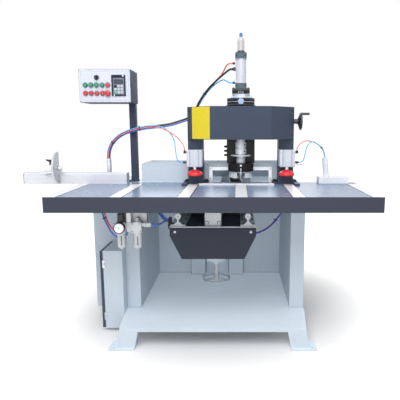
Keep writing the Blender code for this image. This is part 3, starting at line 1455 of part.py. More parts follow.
def head():
    """Saddle on the beam rails, feed cylinder on top, and the router carriage that it moves."""
    back = SADDLE_FRONT + SADDLE_THICKNESS
    shelf_top = RING_BOTTOM
    saddle = box(
        "head_saddle", (-SADDLE_HALF, SADDLE_FRONT, SADDLE_BOTTOM),
        (SADDLE_HALF, back, shelf_top - SHELF_THICKNESS + BITE), BLACK_METAL,
    )
    shelf = box(
        "saddle_shelf", (-SADDLE_HALF, HEAD_Y - RING_RADIUS + BITE, shelf_top - SHELF_THICKNESS),
        (SADDLE_HALF, back, shelf_top),
    )
    ring_top = RING_HEIGHT
    cone_top = ring_top + CONE_HEIGHT
    middle = ring_top / 2
    ring = turned("saddle_ring", (0, HEAD_Y, RING_BOTTOM), (0, 0, 1), (
        (0, cone_top),
        (CONE_TOP_RADIUS, cone_top),
        (CONE_RADIUS, ring_top + BITE),
        (CONE_RADIUS, ring_top),
        (RING_RADIUS, ring_top - BITE),
        (RING_RADIUS, middle + BITE),
        (RING_RADIUS - RING_GROOVE, middle + BITE),
        (RING_RADIUS - RING_GROOVE, middle - BITE),
        (RING_RADIUS, middle - BITE),
        (RING_RADIUS, BITE),
        (RING_RADIUS - BITE, -BITE),
        (0, -BITE),
    ))
    block_low = RING_BOTTOM + cone_top - BITE
    block = box(
        "saddle_block", (-BLOCK_WIDTH / 2, HEAD_Y - BLOCK_WIDTH / 2, block_low),
        (BLOCK_WIDTH / 2, HEAD_Y + BLOCK_WIDTH / 2, CYLINDER_BOTTOM - SEAT),
    )
    gap = box(
        "block_gap", (-BLOCK_GAP / 2, HEAD_Y - BLOCK_WIDTH, block_low + BITE * 2),
        (BLOCK_GAP / 2, HEAD_Y + BLOCK_WIDTH, CYLINDER_BOTTOM + OVERRUN),
    )
    cut(block, [gap])
    rod_bore = rod(
        "saddle_bore", (0, HEAD_Y, shelf_top - SHELF_THICKNESS - OVERRUN), (0, 0, 1),
        ROD_RADIUS + SHAFT_PLAY, SHELF_THICKNESS + cone_top + OVERRUN * 2,
    )
    nut_bore = rod(
        "nut_bore", (-SADDLE_HALF - OVERRUN, SCREW_Y, TRAVERSE_Z), (1, 0, 0),
        TRAVERSE_SCREW_RADIUS + SHAFT_PLAY, SADDLE_HALF * 2 + OVERRUN * 2,
    )
    join(saddle, [shelf, ring, block])
    cut(saddle, [rod_bore, nut_bore])

    flange = box(
        "head_cylinder",
        (-CYLINDER_FLANGE_WIDTH / 2, HEAD_Y - CAP_WIDTH / 2 - OVERRUN, CYLINDER_BOTTOM),
        (CYLINDER_FLANGE_WIDTH / 2, HEAD_Y + CAP_WIDTH / 2 + OVERRUN,
         CYLINDER_BOTTOM + CYLINDER_FLANGE), ALUMINIUM,
    )
    half = CAP_WIDTH / 2
    low_cap = box(
        "cylinder_low_cap",
        (-half, HEAD_Y - half, CYLINDER_BOTTOM + CYLINDER_FLANGE - BITE),
        (half, HEAD_Y + half, BARREL_BOTTOM),
    )
    high_cap = box(
        "cylinder_high_cap", (-half, HEAD_Y - half, BARREL_TOP),
        (half, HEAD_Y + half, BARREL_TOP + UPPER_CAP_HEIGHT),
    )
    collar_top = UPPER_CAP_HEIGHT + COLLAR_HEIGHT
    adjuster_top = collar_top + ADJUSTER_HEIGHT
    shoulder = ADJUSTER_RADIUS - ADJUSTER_NECK
    barrel = turned("cylinder_barrel", (0, HEAD_Y, BARREL_TOP), (0, 0, 1), (
        (0, adjuster_top + CAP_PLUG_HEIGHT),
        (ADJUSTER_NECK - BITE / 2, adjuster_top + CAP_PLUG_HEIGHT),
        (ADJUSTER_NECK, adjuster_top + CAP_PLUG_HEIGHT - BITE),
        (ADJUSTER_NECK, adjuster_top),
        (ADJUSTER_RADIUS - shoulder / 3, adjuster_top - shoulder),
        (ADJUSTER_RADIUS, adjuster_top - shoulder * 2),
        (ADJUSTER_RADIUS, collar_top),
        (COLLAR_RADIUS + BITE, collar_top),
        (COLLAR_RADIUS + BITE, UPPER_CAP_HEIGHT - BITE),
        (BARREL_RADIUS, UPPER_CAP_HEIGHT - BITE),
        (BARREL_RADIUS, -BARREL_HEIGHT - BITE),
        (0, -BARREL_HEIGHT - BITE),
    ), steps=MIDDLE_SIDES)
    bore = rod(
        "cylinder_bore", (0, HEAD_Y, CYLINDER_BOTTOM - OVERRUN), (0, 0, 1),
        ROD_RADIUS + SHAFT_PLAY, BARREL_TOP - CYLINDER_BOTTOM, sides=MIDDLE_SIDES,
    )
    ports = rods("cylinder_ports", [
        ((-half + BITE, HEAD_Y, z), (-1, 0, 0), PORT_RADIUS, PORT_REACH + BITE)
        for z in PORT_HEIGHTS
    ], SMALL_SIDES)
    port_seats = boxes("port_seats", [
        (
            (-half, HEAD_Y - PORT_RADIUS * 2, z - PORT_RADIUS * 2),
            (0, HEAD_Y + PORT_RADIUS * 2, z + PORT_RADIUS * 2),
        )
        for z in PORT_HEIGHTS
    ])
    sensor = box(
        "position_sensor", (-SENSOR_END, SENSOR_Y - SENSOR_HALF, SENSOR_Z - SENSOR_HALF),
        (0, SENSOR_Y + SENSOR_HALF, SENSOR_Z + SENSOR_HALF),
    )
    join(flange, [low_cap, barrel, high_cap, port_seats, ports, sensor])
    cut(flange, [bore])

    front = SADDLE_FRONT - SEAT - PLATE_THICKNESS
    carriage = box(
        "spindle_carriage", (-SADDLE_HALF, front, PLATE_BOTTOM),
        (SADDLE_HALF, SADDLE_FRONT - SEAT, PLATE_TOP), BLACK_METAL,
    )
    drum = turned("spindle_drum", (0, HEAD_Y, DRUM_BOTTOM), (0, 0, 1), (
        (0, DRUM_HEIGHT),
        (DRUM_RADIUS - BITE, DRUM_HEIGHT),
        (DRUM_RADIUS, DRUM_HEIGHT - BITE),
        (DRUM_RADIUS, BITE),
        (DRUM_RADIUS - BITE, 0),
        (0, 0),
    ))
    knobs = [
        rod(
            f"stop_knob_{i}", (-SADDLE_HALF + BITE, front + PLATE_THICKNESS / 2, z), (-1, 0, 0),
            KNOB_RADIUS, KNOB_REACH + BITE, sides=SMALL_SIDES, end_radius=KNOB_RADIUS - BITE,
        )
        for i, z in enumerate(KNOB_HEIGHTS)
    ]
    join(carriage, [drum] + knobs)

    base = DRUM_BOTTOM + DRUM_HEIGHT + SEAT
    disc = DISC_BOTTOM - base
    profile = [
        (0, ROD_TOP - base), (ROD_RADIUS, ROD_TOP - base), (ROD_RADIUS, PLATE_TOP - base),
        (SLEEVE_RADIUS, PLATE_TOP - base),
    ]
    for i in reversed(range(RIB_COUNT)):
        low = disc + DISC_THICKNESS + RIB_GAP + i * (RIB_HEIGHT + RIB_GAP)
        profile += [
            (SLEEVE_RADIUS, low + RIB_HEIGHT), (COLLAR_RING_RADIUS, low + RIB_HEIGHT),
            (COLLAR_RING_RADIUS, low), (SLEEVE_RADIUS, low),
        ]
    profile += [
        (SLEEVE_RADIUS, disc + DISC_THICKNESS), (DISC_RADIUS, disc + DISC_THICKNESS),
        (DISC_RADIUS, disc), (SLEEVE_RADIUS, disc), (SLEEVE_RADIUS, 0), (0, 0),
    ]
    sleeve = turned("spindle_sleeve", (0, HEAD_Y, base), (0, 0, 1), profile, STEEL)
    behind = box(
        "disc_flat", (-DISC_RADIUS - OVERRUN, front - SEAT, base),
        (DISC_RADIUS + OVERRUN, front + DISC_RADIUS, PLATE_TOP - OVERRUN),
    )
    cut(sleeve, [behind])

    shroud_top = DRUM_BOTTOM - SEAT
    shroud = turned("dust_shroud", (0, HEAD_Y, shroud_top), (0, 0, 1), (
        (SHROUD_TOP_RADIUS, 0),
        (SHROUD_RADIUS, -SHROUD_HEIGHT),
        (SHROUD_RADIUS - SHROUD_WALL, -SHROUD_HEIGHT),
        (SHROUD_TOP_RADIUS - SHROUD_WALL, -SHROUD_WALL),
        (CHUCK_RADIUS + BITE, -SHROUD_WALL),
        (CHUCK_RADIUS + BITE, 0),
    ), CLEAR_PLASTIC)
    mouth = box(
        "shroud_mouth", (-CHUCK_RADIUS, HEAD_Y - SHROUD_RADIUS * 2, shroud_top - SHROUD_HEIGHT * 2),
        (CHUCK_RADIUS, HEAD_Y, shroud_top - SHROUD_WALL * 2),
    )
    cut(shroud, [mouth])

    depth = shroud_top - BIT_BOTTOM
    turned("router_bit", (0, HEAD_Y, BIT_BOTTOM), (0, 0, 1), (
        (0, depth),
        (CHUCK_RADIUS, depth),
        (CHUCK_RADIUS, depth - CHUCK_HEIGHT + OVERRUN),
        (CHUCK_RADIUS - OVERRUN, depth - CHUCK_HEIGHT),
        (BIT_RADIUS, depth - CHUCK_HEIGHT),
        (BIT_RADIUS, 0),
        (0, 0),
    ), BLACK_METAL)


def traverse_handwheel():
    """Screw, hub, dished wheel and crank grip that move the head along the beam."""
    face = COLUMN_CENTRE + COLUMN_WIDTH / 2 + SEAT
    hub_end = face + TRAVERSE_HUB_LENGTH
    total = hub_end + TRAVERSE_DISH
    wheel = turned("traverse_handwheel", (face, SCREW_Y, TRAVERSE_Z), (1, 0, 0), (
        (0, total - face),
        (TRAVERSE_HUB_RADIUS, total - face),
        (TRAVERSE_HUB_RADIUS, hub_end - face),
        (TRAVERSE_WHEEL_RADIUS - TRAVERSE_RIM, total - face - TRAVERSE_RIM / 2),
        (TRAVERSE_WHEEL_RADIUS - TRAVERSE_RIM / 2, total - face + TRAVERSE_RIM / 2),
        (TRAVERSE_WHEEL_RADIUS, total - face),
        (TRAVERSE_WHEEL_RADIUS, total - face - TRAVERSE_RIM),
        (TRAVERSE_HUB_RADIUS + BITE, hub_end - face - TRAVERSE_RIM),
        (TRAVERSE_HUB_RADIUS, 0),
        (TRAVERSE_SCREW_RADIUS, 0),
        (TRAVERSE_SCREW_RADIUS, TRAVERSE_SCREW_END - face),
        (0, TRAVERSE_SCREW_END - face),
    ), BLACK_PLASTIC)
    grip = turned(
        "crank_grip",
        (total - TRAVERSE_RIM, SCREW_Y, TRAVERSE_Z + TRAVERSE_WHEEL_RADIUS - TRAVERSE_RIM),
        (1, 0, 0), (
            (0, CRANK_LENGTH + TRAVERSE_RIM),
            (CRANK_RADIUS - BITE, CRANK_LENGTH + TRAVERSE_RIM),
            (CRANK_RADIUS, CRANK_LENGTH + TRAVERSE_RIM - BITE),
            (CRANK_RADIUS, TRAVERSE_RIM + BITE),
            (CRANK_RADIUS - BITE, 0),
            (0, 0),
        ), steps=SMALL_SIDES,
    )
    join(wheel, [grip])


def operator_box():
    """Box on its post, with push buttons, stop button, selector and drive keypad."""
    left = -BOX_LEFT
    top = BOX_BOTTOM + BOX_HEIGHT
    shell = box(
        "control_box", (left, BOX_FRONT, BOX_BOTTOM), (left + BOX_WIDTH, BOX_FRONT + BOX_DEPTH, top),
        WHITE_PLASTIC, BITE,
    )
    columns = [left + BUTTON_FIRST + BUTTON_PITCH * i for i in range(BUTTON_COUNT)]
    places = [(x, BOX_BOTTOM + UPPER_ROW) for x in columns]
    places += [(x, BOX_BOTTOM + LOWER_ROW) for x in columns]
    selector = (left + SELECTOR_COLUMN, BOX_BOTTOM + SELECTOR_ROW)
    bezels = rods("bezels", [
        ((x, BOX_FRONT + BITE, z), (0, -1, 0), BEZEL_RADIUS, BEZEL_HEIGHT + BITE)
        for x, z in places + [selector]
    ], MIDDLE_SIDES)
    holes = rods("button_holes", [
        ((x, BOX_FRONT - BEZEL_HEIGHT - OVERRUN, z), (0, 1, 0), BUTTON_RADIUS + BUTTON_PLAY,
         BEZEL_HEIGHT + OVERRUN + BUTTON_STEM + BUTTON_TRAVEL + BITE)
        for x, z in places + [selector]
    ], BUTTON_SIDES)
    pad_left = left + KEYPAD_LEFT
    pad_low = BOX_BOTTOM + KEYPAD_BOTTOM
    keypad = box(
        "keypad_frame", (pad_left, BOX_FRONT - KEYPAD_DEPTH, pad_low),
        (pad_left + KEYPAD_WIDTH, BOX_FRONT + BITE, pad_low + KEYPAD_HEIGHT),
    )
    recess = box(
        "keypad_recess",
        (pad_left + KEYPAD_FRAME, BOX_FRONT - KEYPAD_DEPTH - OVERRUN, pad_low + KEYPAD_FRAME),
        (pad_left + KEYPAD_WIDTH - KEYPAD_FRAME, BOX_FRONT - KEYPAD_DEPTH + KEYPAD_RECESS,
         pad_low + KEYPAD_HEIGHT - KEYPAD_FRAME * 2),
    )
    join(shell, [bezels, keypad])
    cut(shell, [holes, recess])

    names = [f"green_button_{i + 1}" for i in range(BUTTON_COUNT - 1)]
    names += [f"red_button_{i + 1}" for i in range(BUTTON_COUNT)]
    front = BOX_FRONT - BEZEL_HEIGHT - BUTTON_REACH
    length = BUTTON_REACH + BEZEL_HEIGHT + BUTTON_STEM
    for name, (x, z) in zip(names, places):
        surface = GREEN_PLASTIC if name.startswith("green") else RED_PLASTIC
        turned(name, (x, BOX_FRONT + BUTTON_STEM, z), (0, -1, 0), (
            (0, length),
            (BUTTON_RADIUS - BITE, length),
            (BUTTON_RADIUS, length - BITE),
            (BUTTON_RADIUS, 0),
            (0, 0),
        ), surface, BUTTON_SIDES)
    x, z = places[-1]
    cap_low = length - STOP_CAP + BITE
    turned("emergency_stop", (x, BOX_FRONT + BUTTON_STEM, z), (0, -1, 0), (
        (0, length + BITE * 3),
        (STOP_RADIUS / 2, length + BITE * 2.5),
        (STOP_RADIUS - BITE, length + BITE),
        (STOP_RADIUS, length - BITE),
        (STOP_RADIUS, cap_low + BITE * 2),
        (BUTTON_RADIUS, cap_low + BITE * 2),
        (BUTTON_RADIUS, 0),
        (0, 0),
    ), RED_PLASTIC, BUTTON_SIDES)
    selector_base = (selector[0], BOX_FRONT + BUTTON_STEM, selector[1])
    knob = turned("selector_switch", selector_base, (0, -1, 0), (
        (0, length - BUTTON_REACH / 2),
        (BUTTON_RADIUS, length - BUTTON_REACH / 2),
        (BUTTON_RADIUS, 0),
        (0, 0),
    ), BLACK_PLASTIC, BUTTON_SIDES)
    grip = box(
        "selector_bar",
        (selector[0] - SELECTOR_BAR / 2, front - BITE, selector[1] - BUTTON_RADIUS + BITE),
        (selector[0] + SELECTOR_BAR / 2, front + BUTTON_REACH, selector[1] + BUTTON_RADIUS - BITE),
    )
    join(knob, [grip])

    half = POST_SIDE / 2
    foot_half = POST_PLATE_SIDE / 2
    bottom = TABLE_HEIGHT + SEAT
    post = box(
        "control_post", (POST_X - half, POST_Y - half, bottom),
        (POST_X + half, POST_Y + half, BOX_BOTTOM - SEAT), FRAME_PAINT,
    )
    foot = box(
        "post_foot", (POST_X - foot_half, POST_Y - half + BITE, bottom),
        (POST_X + foot_half - FOOT_PLATE * 2, POST_Y + foot_half, bottom + POST_PLATE),
    )
    join(post, [foot])


def length_stop():
    """Fence profile with a sliding carrier, a flip-up blade and its clamping screw."""
    bottom = TABLE_HEIGHT + SEAT
    back = FENCE_FRONT + FENCE_DEPTH
    middle = FENCE_FRONT + FENCE_DEPTH / 2
    fence = plate("fence", "YZ", (
        (FENCE_FRONT, bottom),
        (back, bottom),
        (back, FENCE_TOP),
        (middle + FENCE_SLOT, FENCE_TOP),
        (middle + FENCE_SLOT, FENCE_TOP - FENCE_SLOT_DEPTH),
        (middle, FENCE_TOP - FENCE_SLOT_DEPTH),
        (middle, FENCE_TOP),
        (FENCE_FRONT + FENCE_CHAMFER, FENCE_TOP),
        (FENCE_FRONT, FENCE_TOP - FENCE_CHAMFER),
    ), -FENCE_LEFT, -FENCE_LEFT + FENCE_LENGTH, ALUMINIUM)
    back_slot = box(
        "fence_back_slot", (-FENCE_LEFT - OVERRUN, back - FENCE_SLOT_DEPTH, bottom + FENCE_SLOT * 2),
        (-FENCE_LEFT + FENCE_LENGTH + OVERRUN, back + OVERRUN, bottom + FENCE_SLOT * 3),
    )
    cut(fence, [back_slot])

    blade_left = STOP_AXIS_X - STOP_BLADE_THICKNESS / 2
    blade_right = STOP_AXIS_X + STOP_BLADE_THICKNESS / 2
    barrel_right = blade_left - SEAT
    carrier = rod(
        "stop_carriage", (barrel_right, STOP_AXIS_Y, STOP_AXIS_Z), (-1, 0, 0), STOP_BARREL_RADIUS,
        STOP_BARREL_LENGTH, ALUMINIUM,
    )
    shoe_low = FENCE_TOP + SEAT
    shoe = box(
        "carrier_shoe",
        (barrel_right - STOP_BARREL_LENGTH, STOP_AXIS_Y - STOP_BARREL_RADIUS / 2, shoe_low),
        (barrel_right, STOP_SHOE_BACK, shoe_low + STOP_SHOE_HEIGHT + BITE),
    )
    web = box(
        "carrier_web",
        (barrel_right - STOP_BARREL_LENGTH, STOP_AXIS_Y - STOP_BARREL_RADIUS / 2, shoe_low + BITE),
        (barrel_right, STOP_AXIS_Y + STOP_BARREL_RADIUS, STOP_AXIS_Z),
    )
    pin_end = blade_right + STOP_KNOB_GAP
    pin = turned("carrier_pin", (barrel_right - BITE, STOP_AXIS_Y, STOP_AXIS_Z), (1, 0, 0), (
        (0, pin_end - barrel_right + STOP_KNOB_RADIUS + BITE),
        (STOP_KNOB_RADIUS / 2, pin_end - barrel_right + STOP_KNOB_RADIUS),
        (STOP_KNOB_RADIUS, pin_end - barrel_right + STOP_KNOB_RADIUS / 2),
        (STOP_KNOB_RADIUS, blade_right - barrel_right + SEAT + BITE * 2),
        (STOP_ROD_RADIUS, blade_right - barrel_right + SEAT + BITE * 2),
        (STOP_ROD_RADIUS, 0),
        (0, 0),
    ))
    screw_hole = rod(
        "wing_hole", (WING_X, STOP_AXIS_Y, STOP_AXIS_Z + STOP_BARREL_RADIUS - WING_THREAD - BITE),
        (0, 0, 1), WING_THREAD_RADIUS + SHAFT_PLAY, WING_THREAD + OVERRUN * 2, sides=SMALL_SIDES,
    )
    join(carrier, [web, shoe, pin])
    cut(carrier, [screw_hole])
    hinged_at(carrier, (STOP_AXIS_X, STOP_AXIS_Y, STOP_AXIS_Z))

    height = (STOP_BLADE_TOP - STOP_BLADE_BOTTOM) / 2
    centre = (STOP_BLADE_TOP + STOP_BLADE_BOTTOM) / 2
    curve = [
        (STOP_BLADE_BACK + STOP_BLADE_BULGE * math.cos(a), centre + height * math.sin(a))
        for a in (
            math.pi / 2 + math.pi * i / (STOP_BLADE_POINTS - 1) for i in range(STOP_BLADE_POINTS)
        )
    ]
    blade = plate("flip_stop", "YZ", curve, blade_left, blade_right, ALUMINIUM)
    pin_hole = rod(
        "blade_hole", (blade_left - OVERRUN, STOP_AXIS_Y, STOP_AXIS_Z), (1, 0, 0),
        STOP_ROD_RADIUS + SHAFT_PLAY, STOP_BLADE_THICKNESS + OVERRUN * 2,
    )
    cut(blade, [pin_hole])
    hinged_at(blade, (STOP_AXIS_X, STOP_AXIS_Y, STOP_AXIS_Z))

    seat_z = STOP_AXIS_Z + STOP_BARREL_RADIUS + SEAT
    wing = turned("wing_screw", (WING_X, STOP_AXIS_Y, seat_z), (0, 0, 1), (
        (0, WING_STEM_HEIGHT),
        (WING_STEM_RADIUS, WING_STEM_HEIGHT),
        (WING_STEM_RADIUS, 0),
        (WING_THREAD_RADIUS, 0),
        (WING_THREAD_RADIUS, -WING_THREAD),
        (0, -WING_THREAD),
    ), BLACK_PLASTIC, SMALL_SIDES)
    bar = plate("wing_bar", "XZ", (
        (WING_X - WING_HALF, seat_z + WING_STEM_HEIGHT + BITE),
        (WING_X - WING_HALF + BITE, seat_z + WING_STEM_HEIGHT - WING_HEIGHT / 2),
        (WING_X - WING_STEM_RADIUS - BITE, seat_z + WING_STEM_HEIGHT - WING_HEIGHT),
        (WING_X + WING_STEM_RADIUS + BITE, seat_z + WING_STEM_HEIGHT - WING_HEIGHT),
        (WING_X + WING_HALF - BITE, seat_z + WING_STEM_HEIGHT - WING_HEIGHT / 2),
        (WING_X + WING_HALF, seat_z + WING_STEM_HEIGHT + BITE),
        (WING_X, seat_z + WING_STEM_HEIGHT - BITE / 2),
    ), STOP_AXIS_Y - WING_THICKNESS / 2, STOP_AXIS_Y + WING_THICKNESS / 2)
    join(wing, [bar])


def stand_pipes():
    """Tubes that bring the hoses up through the stand and the table."""
    bottom = SLAB_BOTTOM + SEAT
    left = rod(
        "left_conduit", (LEFT_PIPE_X, LEFT_PIPE_Y, bottom), (0, 0, 1), LEFT_PIPE_RADIUS,
        LEFT_PIPE_TOP - bottom, ALUMINIUM,
    )
    mouth = rod(
        "left_mouth", (LEFT_PIPE_X, LEFT_PIPE_Y, LEFT_PIPE_TOP - PIPE_MOUTH), (0, 0, 1),
        LEFT_PIPE_RADIUS - PIPE_WALL, PIPE_MOUTH + OVERRUN,
    )
    cut(left, [mouth])

    block_low = TABLE_HEIGHT + SEAT
    block = box(
        "right_conduit", (RIGHT_BLOCK_LEFT, RIGHT_BLOCK_FRONT, block_low),
        (RIGHT_BLOCK_LEFT + RIGHT_BLOCK_WIDTH, RIGHT_BLOCK_FRONT + RIGHT_BLOCK_DEPTH,
         block_low + RIGHT_BLOCK_HEIGHT), WHITE_PLASTIC, BITE,
    )
    foot = Vector((RIGHT_PIPE_X, RIGHT_PIPE_Y, block_low + RIGHT_BLOCK_HEIGHT - BITE * 4))
    head = Vector((RIGHT_PIPE_X - RIGHT_PIPE_LEAN, RIGHT_PIPE_Y, RIGHT_PIPE_TOP))
    along = head - foot
    pipe = rod("right_pipe", foot, along, RIGHT_PIPE_RADIUS, along.length)
    bore = rod(
        "right_mouth", head - along.normalized() * PIPE_MOUTH, along,
        RIGHT_PIPE_RADIUS - PIPE_WALL, PIPE_MOUTH + OVERRUN,
    )
    cut(pipe, [bore])
    join(block, [pipe])


def air_unit():
    """Filter-regulator and lubricator behind the apron, with valve spine, gauge and knob."""
    half = AIR_BODY_HALF
    body = box(
        "filter_regulator", (FILTER_X - half, AIR_Y - half, AIR_BODY_BOTTOM),
        (FILTER_X + half, AIR_Y + half, AIR_BODY_TOP), ALUMINIUM,
    )
    second = box(
        "lubricator_body", (LUBRICATOR_X - half, AIR_Y - half, AIR_BODY_BOTTOM),
        (LUBRICATOR_X + half, AIR_Y + half, AIR_BODY_TOP),
    )
    middle = (FILTER_X + LUBRICATOR_X) / 2
    link = box(
        "link_block", (middle - LINK_HALF, AIR_Y - half / 2, AIR_BODY_BOTTOM + BITE),
        (middle + LINK_HALF, AIR_Y + half / 2, LINK_TOP),
    )
    bridge = box(
        "link_bridge", (FILTER_X, AIR_Y - half / 2, AIR_BODY_BOTTOM + OVERRUN * 3),
        (LUBRICATOR_X, AIR_Y + half / 3, AIR_BODY_TOP - OVERRUN),
    )
    bowls = [
        turned(f"bowl_{i}", (x, AIR_Y, BOWL_BOTTOM), (0, 0, 1), (
            (0, AIR_BODY_BOTTOM - BOWL_BOTTOM + BITE),
            (BOWL_RADIUS, AIR_BODY_BOTTOM - BOWL_BOTTOM + BITE),
            (BOWL_RADIUS, BOWL_RADIUS / 2),
            (BOWL_RADIUS - OVERRUN, OVERRUN),
            (BOWL_RADIUS / 2, 0),
            (0, 0),
        ), steps=MIDDLE_SIDES)
        for i, x in enumerate((FILTER_X, LUBRICATOR_X))
    ]
    port_start = LUBRICATOR_X + half - BITE
    port = rod(
        "outlet_port", (port_start, *AIR_OUTLET[1:]), (1, 0, 0), AIR_PORT_RADIUS,
        AIR_OUTLET[0] - port_start, sides=SMALL_SIDES,
    )
    spine_front = AIR_Y + half - BITE
    spine = box(
        "valve_spine",
        (FILTER_X - half - OVERRUN, spine_front, SUPPLY_SEAT_Z),
        (FILTER_X - half - OVERRUN + AIR_SPINE_WIDTH, spine_front + AIR_SPINE_THICKNESS,
         SLAB_BOTTOM - SEAT),
    )
    join(body, [second, link, bridge] + bowls + [port, spine])

    knob_low = AIR_BODY_TOP + SEAT
    turned("regulator_knob", (FILTER_X, AIR_Y - OVERRUN, knob_low), (0, 0, 1), (
        (0, REGULATOR_KNOB_HEIGHT),
        (REGULATOR_KNOB_RADIUS - BITE, REGULATOR_KNOB_HEIGHT),
        (REGULATOR_KNOB_RADIUS, REGULATOR_KNOB_HEIGHT - BITE),
        (REGULATOR_KNOB_RADIUS, OVERRUN),
        (REGULATOR_KNOB_RADIUS - OVERRUN, 0),
        (0, 0),
    ), BLACK_PLASTIC, MIDDLE_SIDES)

    face = AIR_Y - half - SEAT
    turned("pressure_gauge", (FILTER_X, face, GAUGE_Z), (0, -1, 0), (
        (0, GAUGE_STEM + GAUGE_THICKNESS - BITE),
        (GAUGE_RADIUS - BITE * 2, GAUGE_STEM + GAUGE_THICKNESS - BITE),
        (GAUGE_RADIUS - BITE, GAUGE_STEM + GAUGE_THICKNESS),
        (GAUGE_RADIUS, GAUGE_STEM + GAUGE_THICKNESS - BITE),
        (GAUGE_RADIUS, GAUGE_STEM),
        (GAUGE_STEM_RADIUS, GAUGE_STEM),
        (GAUGE_STEM_RADIUS, 0),
        (0, 0),
    ), BLACK_PLASTIC)


def knee():
    """Lifting platform with its front plate, screw nut, rails and feed cylinder."""
    half = KNEE_WIDTH / 2
    foot_half = KNEE_FOOT_WIDTH / 2
    sheet_back = KNEE_FRONT + KNEE_SHEET
    front = plate("knee_platform", "XZ", (
        (KNEE_X - half, KNEE_TOP),
        (KNEE_X - half, KNEE_SHOULDER),
        (KNEE_X - foot_half, KNEE_FOOT),
        (KNEE_X + foot_half, KNEE_FOOT),
        (KNEE_X + half, KNEE_SHOULDER),
        (KNEE_X + half, KNEE_TOP),
    ), KNEE_FRONT, sheet_back, FRAME_PAINT)
    deck_low = KNEE_TOP - KNEE_DECK
    back = GUIDE_FRONT - SEAT
    deck = box(
        "knee_deck", (KNEE_X - half + KNEE_DECK_INSET, sheet_back - BITE, deck_low),
        (KNEE_X + half - KNEE_DECK_INSET, back, KNEE_TOP - BITE / 4),
    )
    webs = [
        plate(f"knee_web_{side}", "YZ", (
            (sheet_back - BITE, deck_low + BITE),
            (sheet_back - BITE, deck_low - KNEE_WEB_DEPTH),
            (LIFT_Y, deck_low - KNEE_WEB_DEPTH),
            (back - BITE, KNEE_BACK_BOTTOM + BITE),
            (back - BITE, deck_low + BITE),
        ), KNEE_X + side * KNEE_WEB_X - KNEE_WEB / 2, KNEE_X + side * KNEE_WEB_X + KNEE_WEB / 2)
        for side in (-1, 1)
    ]
    slide = box(
        "knee_slide",
        (GUIDE_CENTRE - (GUIDE_SPACING + GUIDE_WIDTH) / 2, back - KNEE_BACK, KNEE_BACK_BOTTOM),
        (GUIDE_CENTRE + (GUIDE_SPACING + GUIDE_WIDTH) / 2, back, KNEE_TOP - BITE / 2),
    )
    nut = rod(
        "lift_nut", (LIFT_X, LIFT_Y, deck_low - NUT_HEIGHT), (0, 0, 1), NUT_RADIUS,
        NUT_HEIGHT + BITE,
    )
    nut_bore = rod(
        "nut_thread", (LIFT_X, LIFT_Y, deck_low - NUT_HEIGHT - OVERRUN), (0, 0, 1),
        LIFT_SCREW_RADIUS + SHAFT_PLAY, NUT_HEIGHT + OVERRUN + BITE * 4,
    )
    edge = KNEE_X - half + KNEE_DECK_INSET
    left_port_foot = box(
        "left_port_foot", (KNEE_BLOCK_LEFT, KNEE_BLOCK_Y - KNEE_BLOCK_HALF, deck_low + BITE),
        (edge + BITE, KNEE_BLOCK_Y + KNEE_BLOCK_HALF, KNEE_TOP - BITE),
    )
    left_port = box(
        "left_port", (KNEE_BLOCK_LEFT, KNEE_BLOCK_Y - KNEE_BLOCK_HALF, KNEE_TOP - BITE * 2),
        (KNEE_X - RAIL_OFFSET - RAIL_PAD_WIDTH / 2 - BITE, KNEE_BLOCK_Y + KNEE_BLOCK_HALF,
         KNEE_BLOCK_Z * 2 - KNEE_TOP - OVERRUN),
    )
    right_port = box(
        "right_port",
        (KNEE_X + KNEE_WEB_X, WEB_BLOCK_Y - WEB_BLOCK_HALF, WEB_BLOCK_Z - WEB_BLOCK_HALF),
        (WEB_BLOCK_RIGHT, WEB_BLOCK_Y + WEB_BLOCK_HALF, WEB_BLOCK_Z + WEB_BLOCK_HALF),
    )
    screws = rods("knee_screws", [
        ((KNEE_X + side * (half - KNEE_SCREW_INSET), KNEE_FRONT + BITE, KNEE_TOP - KNEE_SCREW_INSET),
         (0, -1, 0), KNEE_SCREW_RADIUS, KNEE_SCREW_HEAD + BITE)
        for side in (-1, 1)
    ], SMALL_SIDES)
    join(front, [deck] + webs + [slide, nut, left_port_foot, left_port, right_port, screws])
    cut(front, [nut_bore])

    pad_low = KNEE_TOP + SEAT
    pad_top = pad_low + RAIL_PAD
    rail_end = RAIL_FRONT + RAIL_LENGTH
    for name, side in (("left", -1), ("right", 1)):
        x = KNEE_X + side * RAIL_OFFSET
        rail = box(
            f"{name}_feed_rail", (x - RAIL_PAD_WIDTH / 2, RAIL_FRONT, pad_low),
            (x + RAIL_PAD_WIDTH / 2, rail_end, pad_top), STEEL,
        )
        support = plate(f"{name}_rail_support", "XZ", (
            (x - RAIL_FLARE_HALF, pad_top - BITE),
            (x + RAIL_FLARE_HALF, pad_top - BITE),
            (x + RAIL_FLARE_HALF, pad_top + BITE),
            (x + RAIL_NECK_HALF, pad_top + RAIL_FLARE_HEIGHT),
            (x + RAIL_NECK_HALF, RAIL_Z),
            (x - RAIL_NECK_HALF, RAIL_Z),
            (x - RAIL_NECK_HALF, pad_top + RAIL_FLARE_HEIGHT),
            (x - RAIL_FLARE_HALF, pad_top + BITE),
        ), RAIL_FRONT + BITE, rail_end - BITE)
        shaft = rod(
            f"{name}_rail_shaft", (x, RAIL_FRONT, RAIL_Z), (0, 1, 0), RAIL_RADIUS, RAIL_LENGTH
        )
        join(rail, [support, shaft])

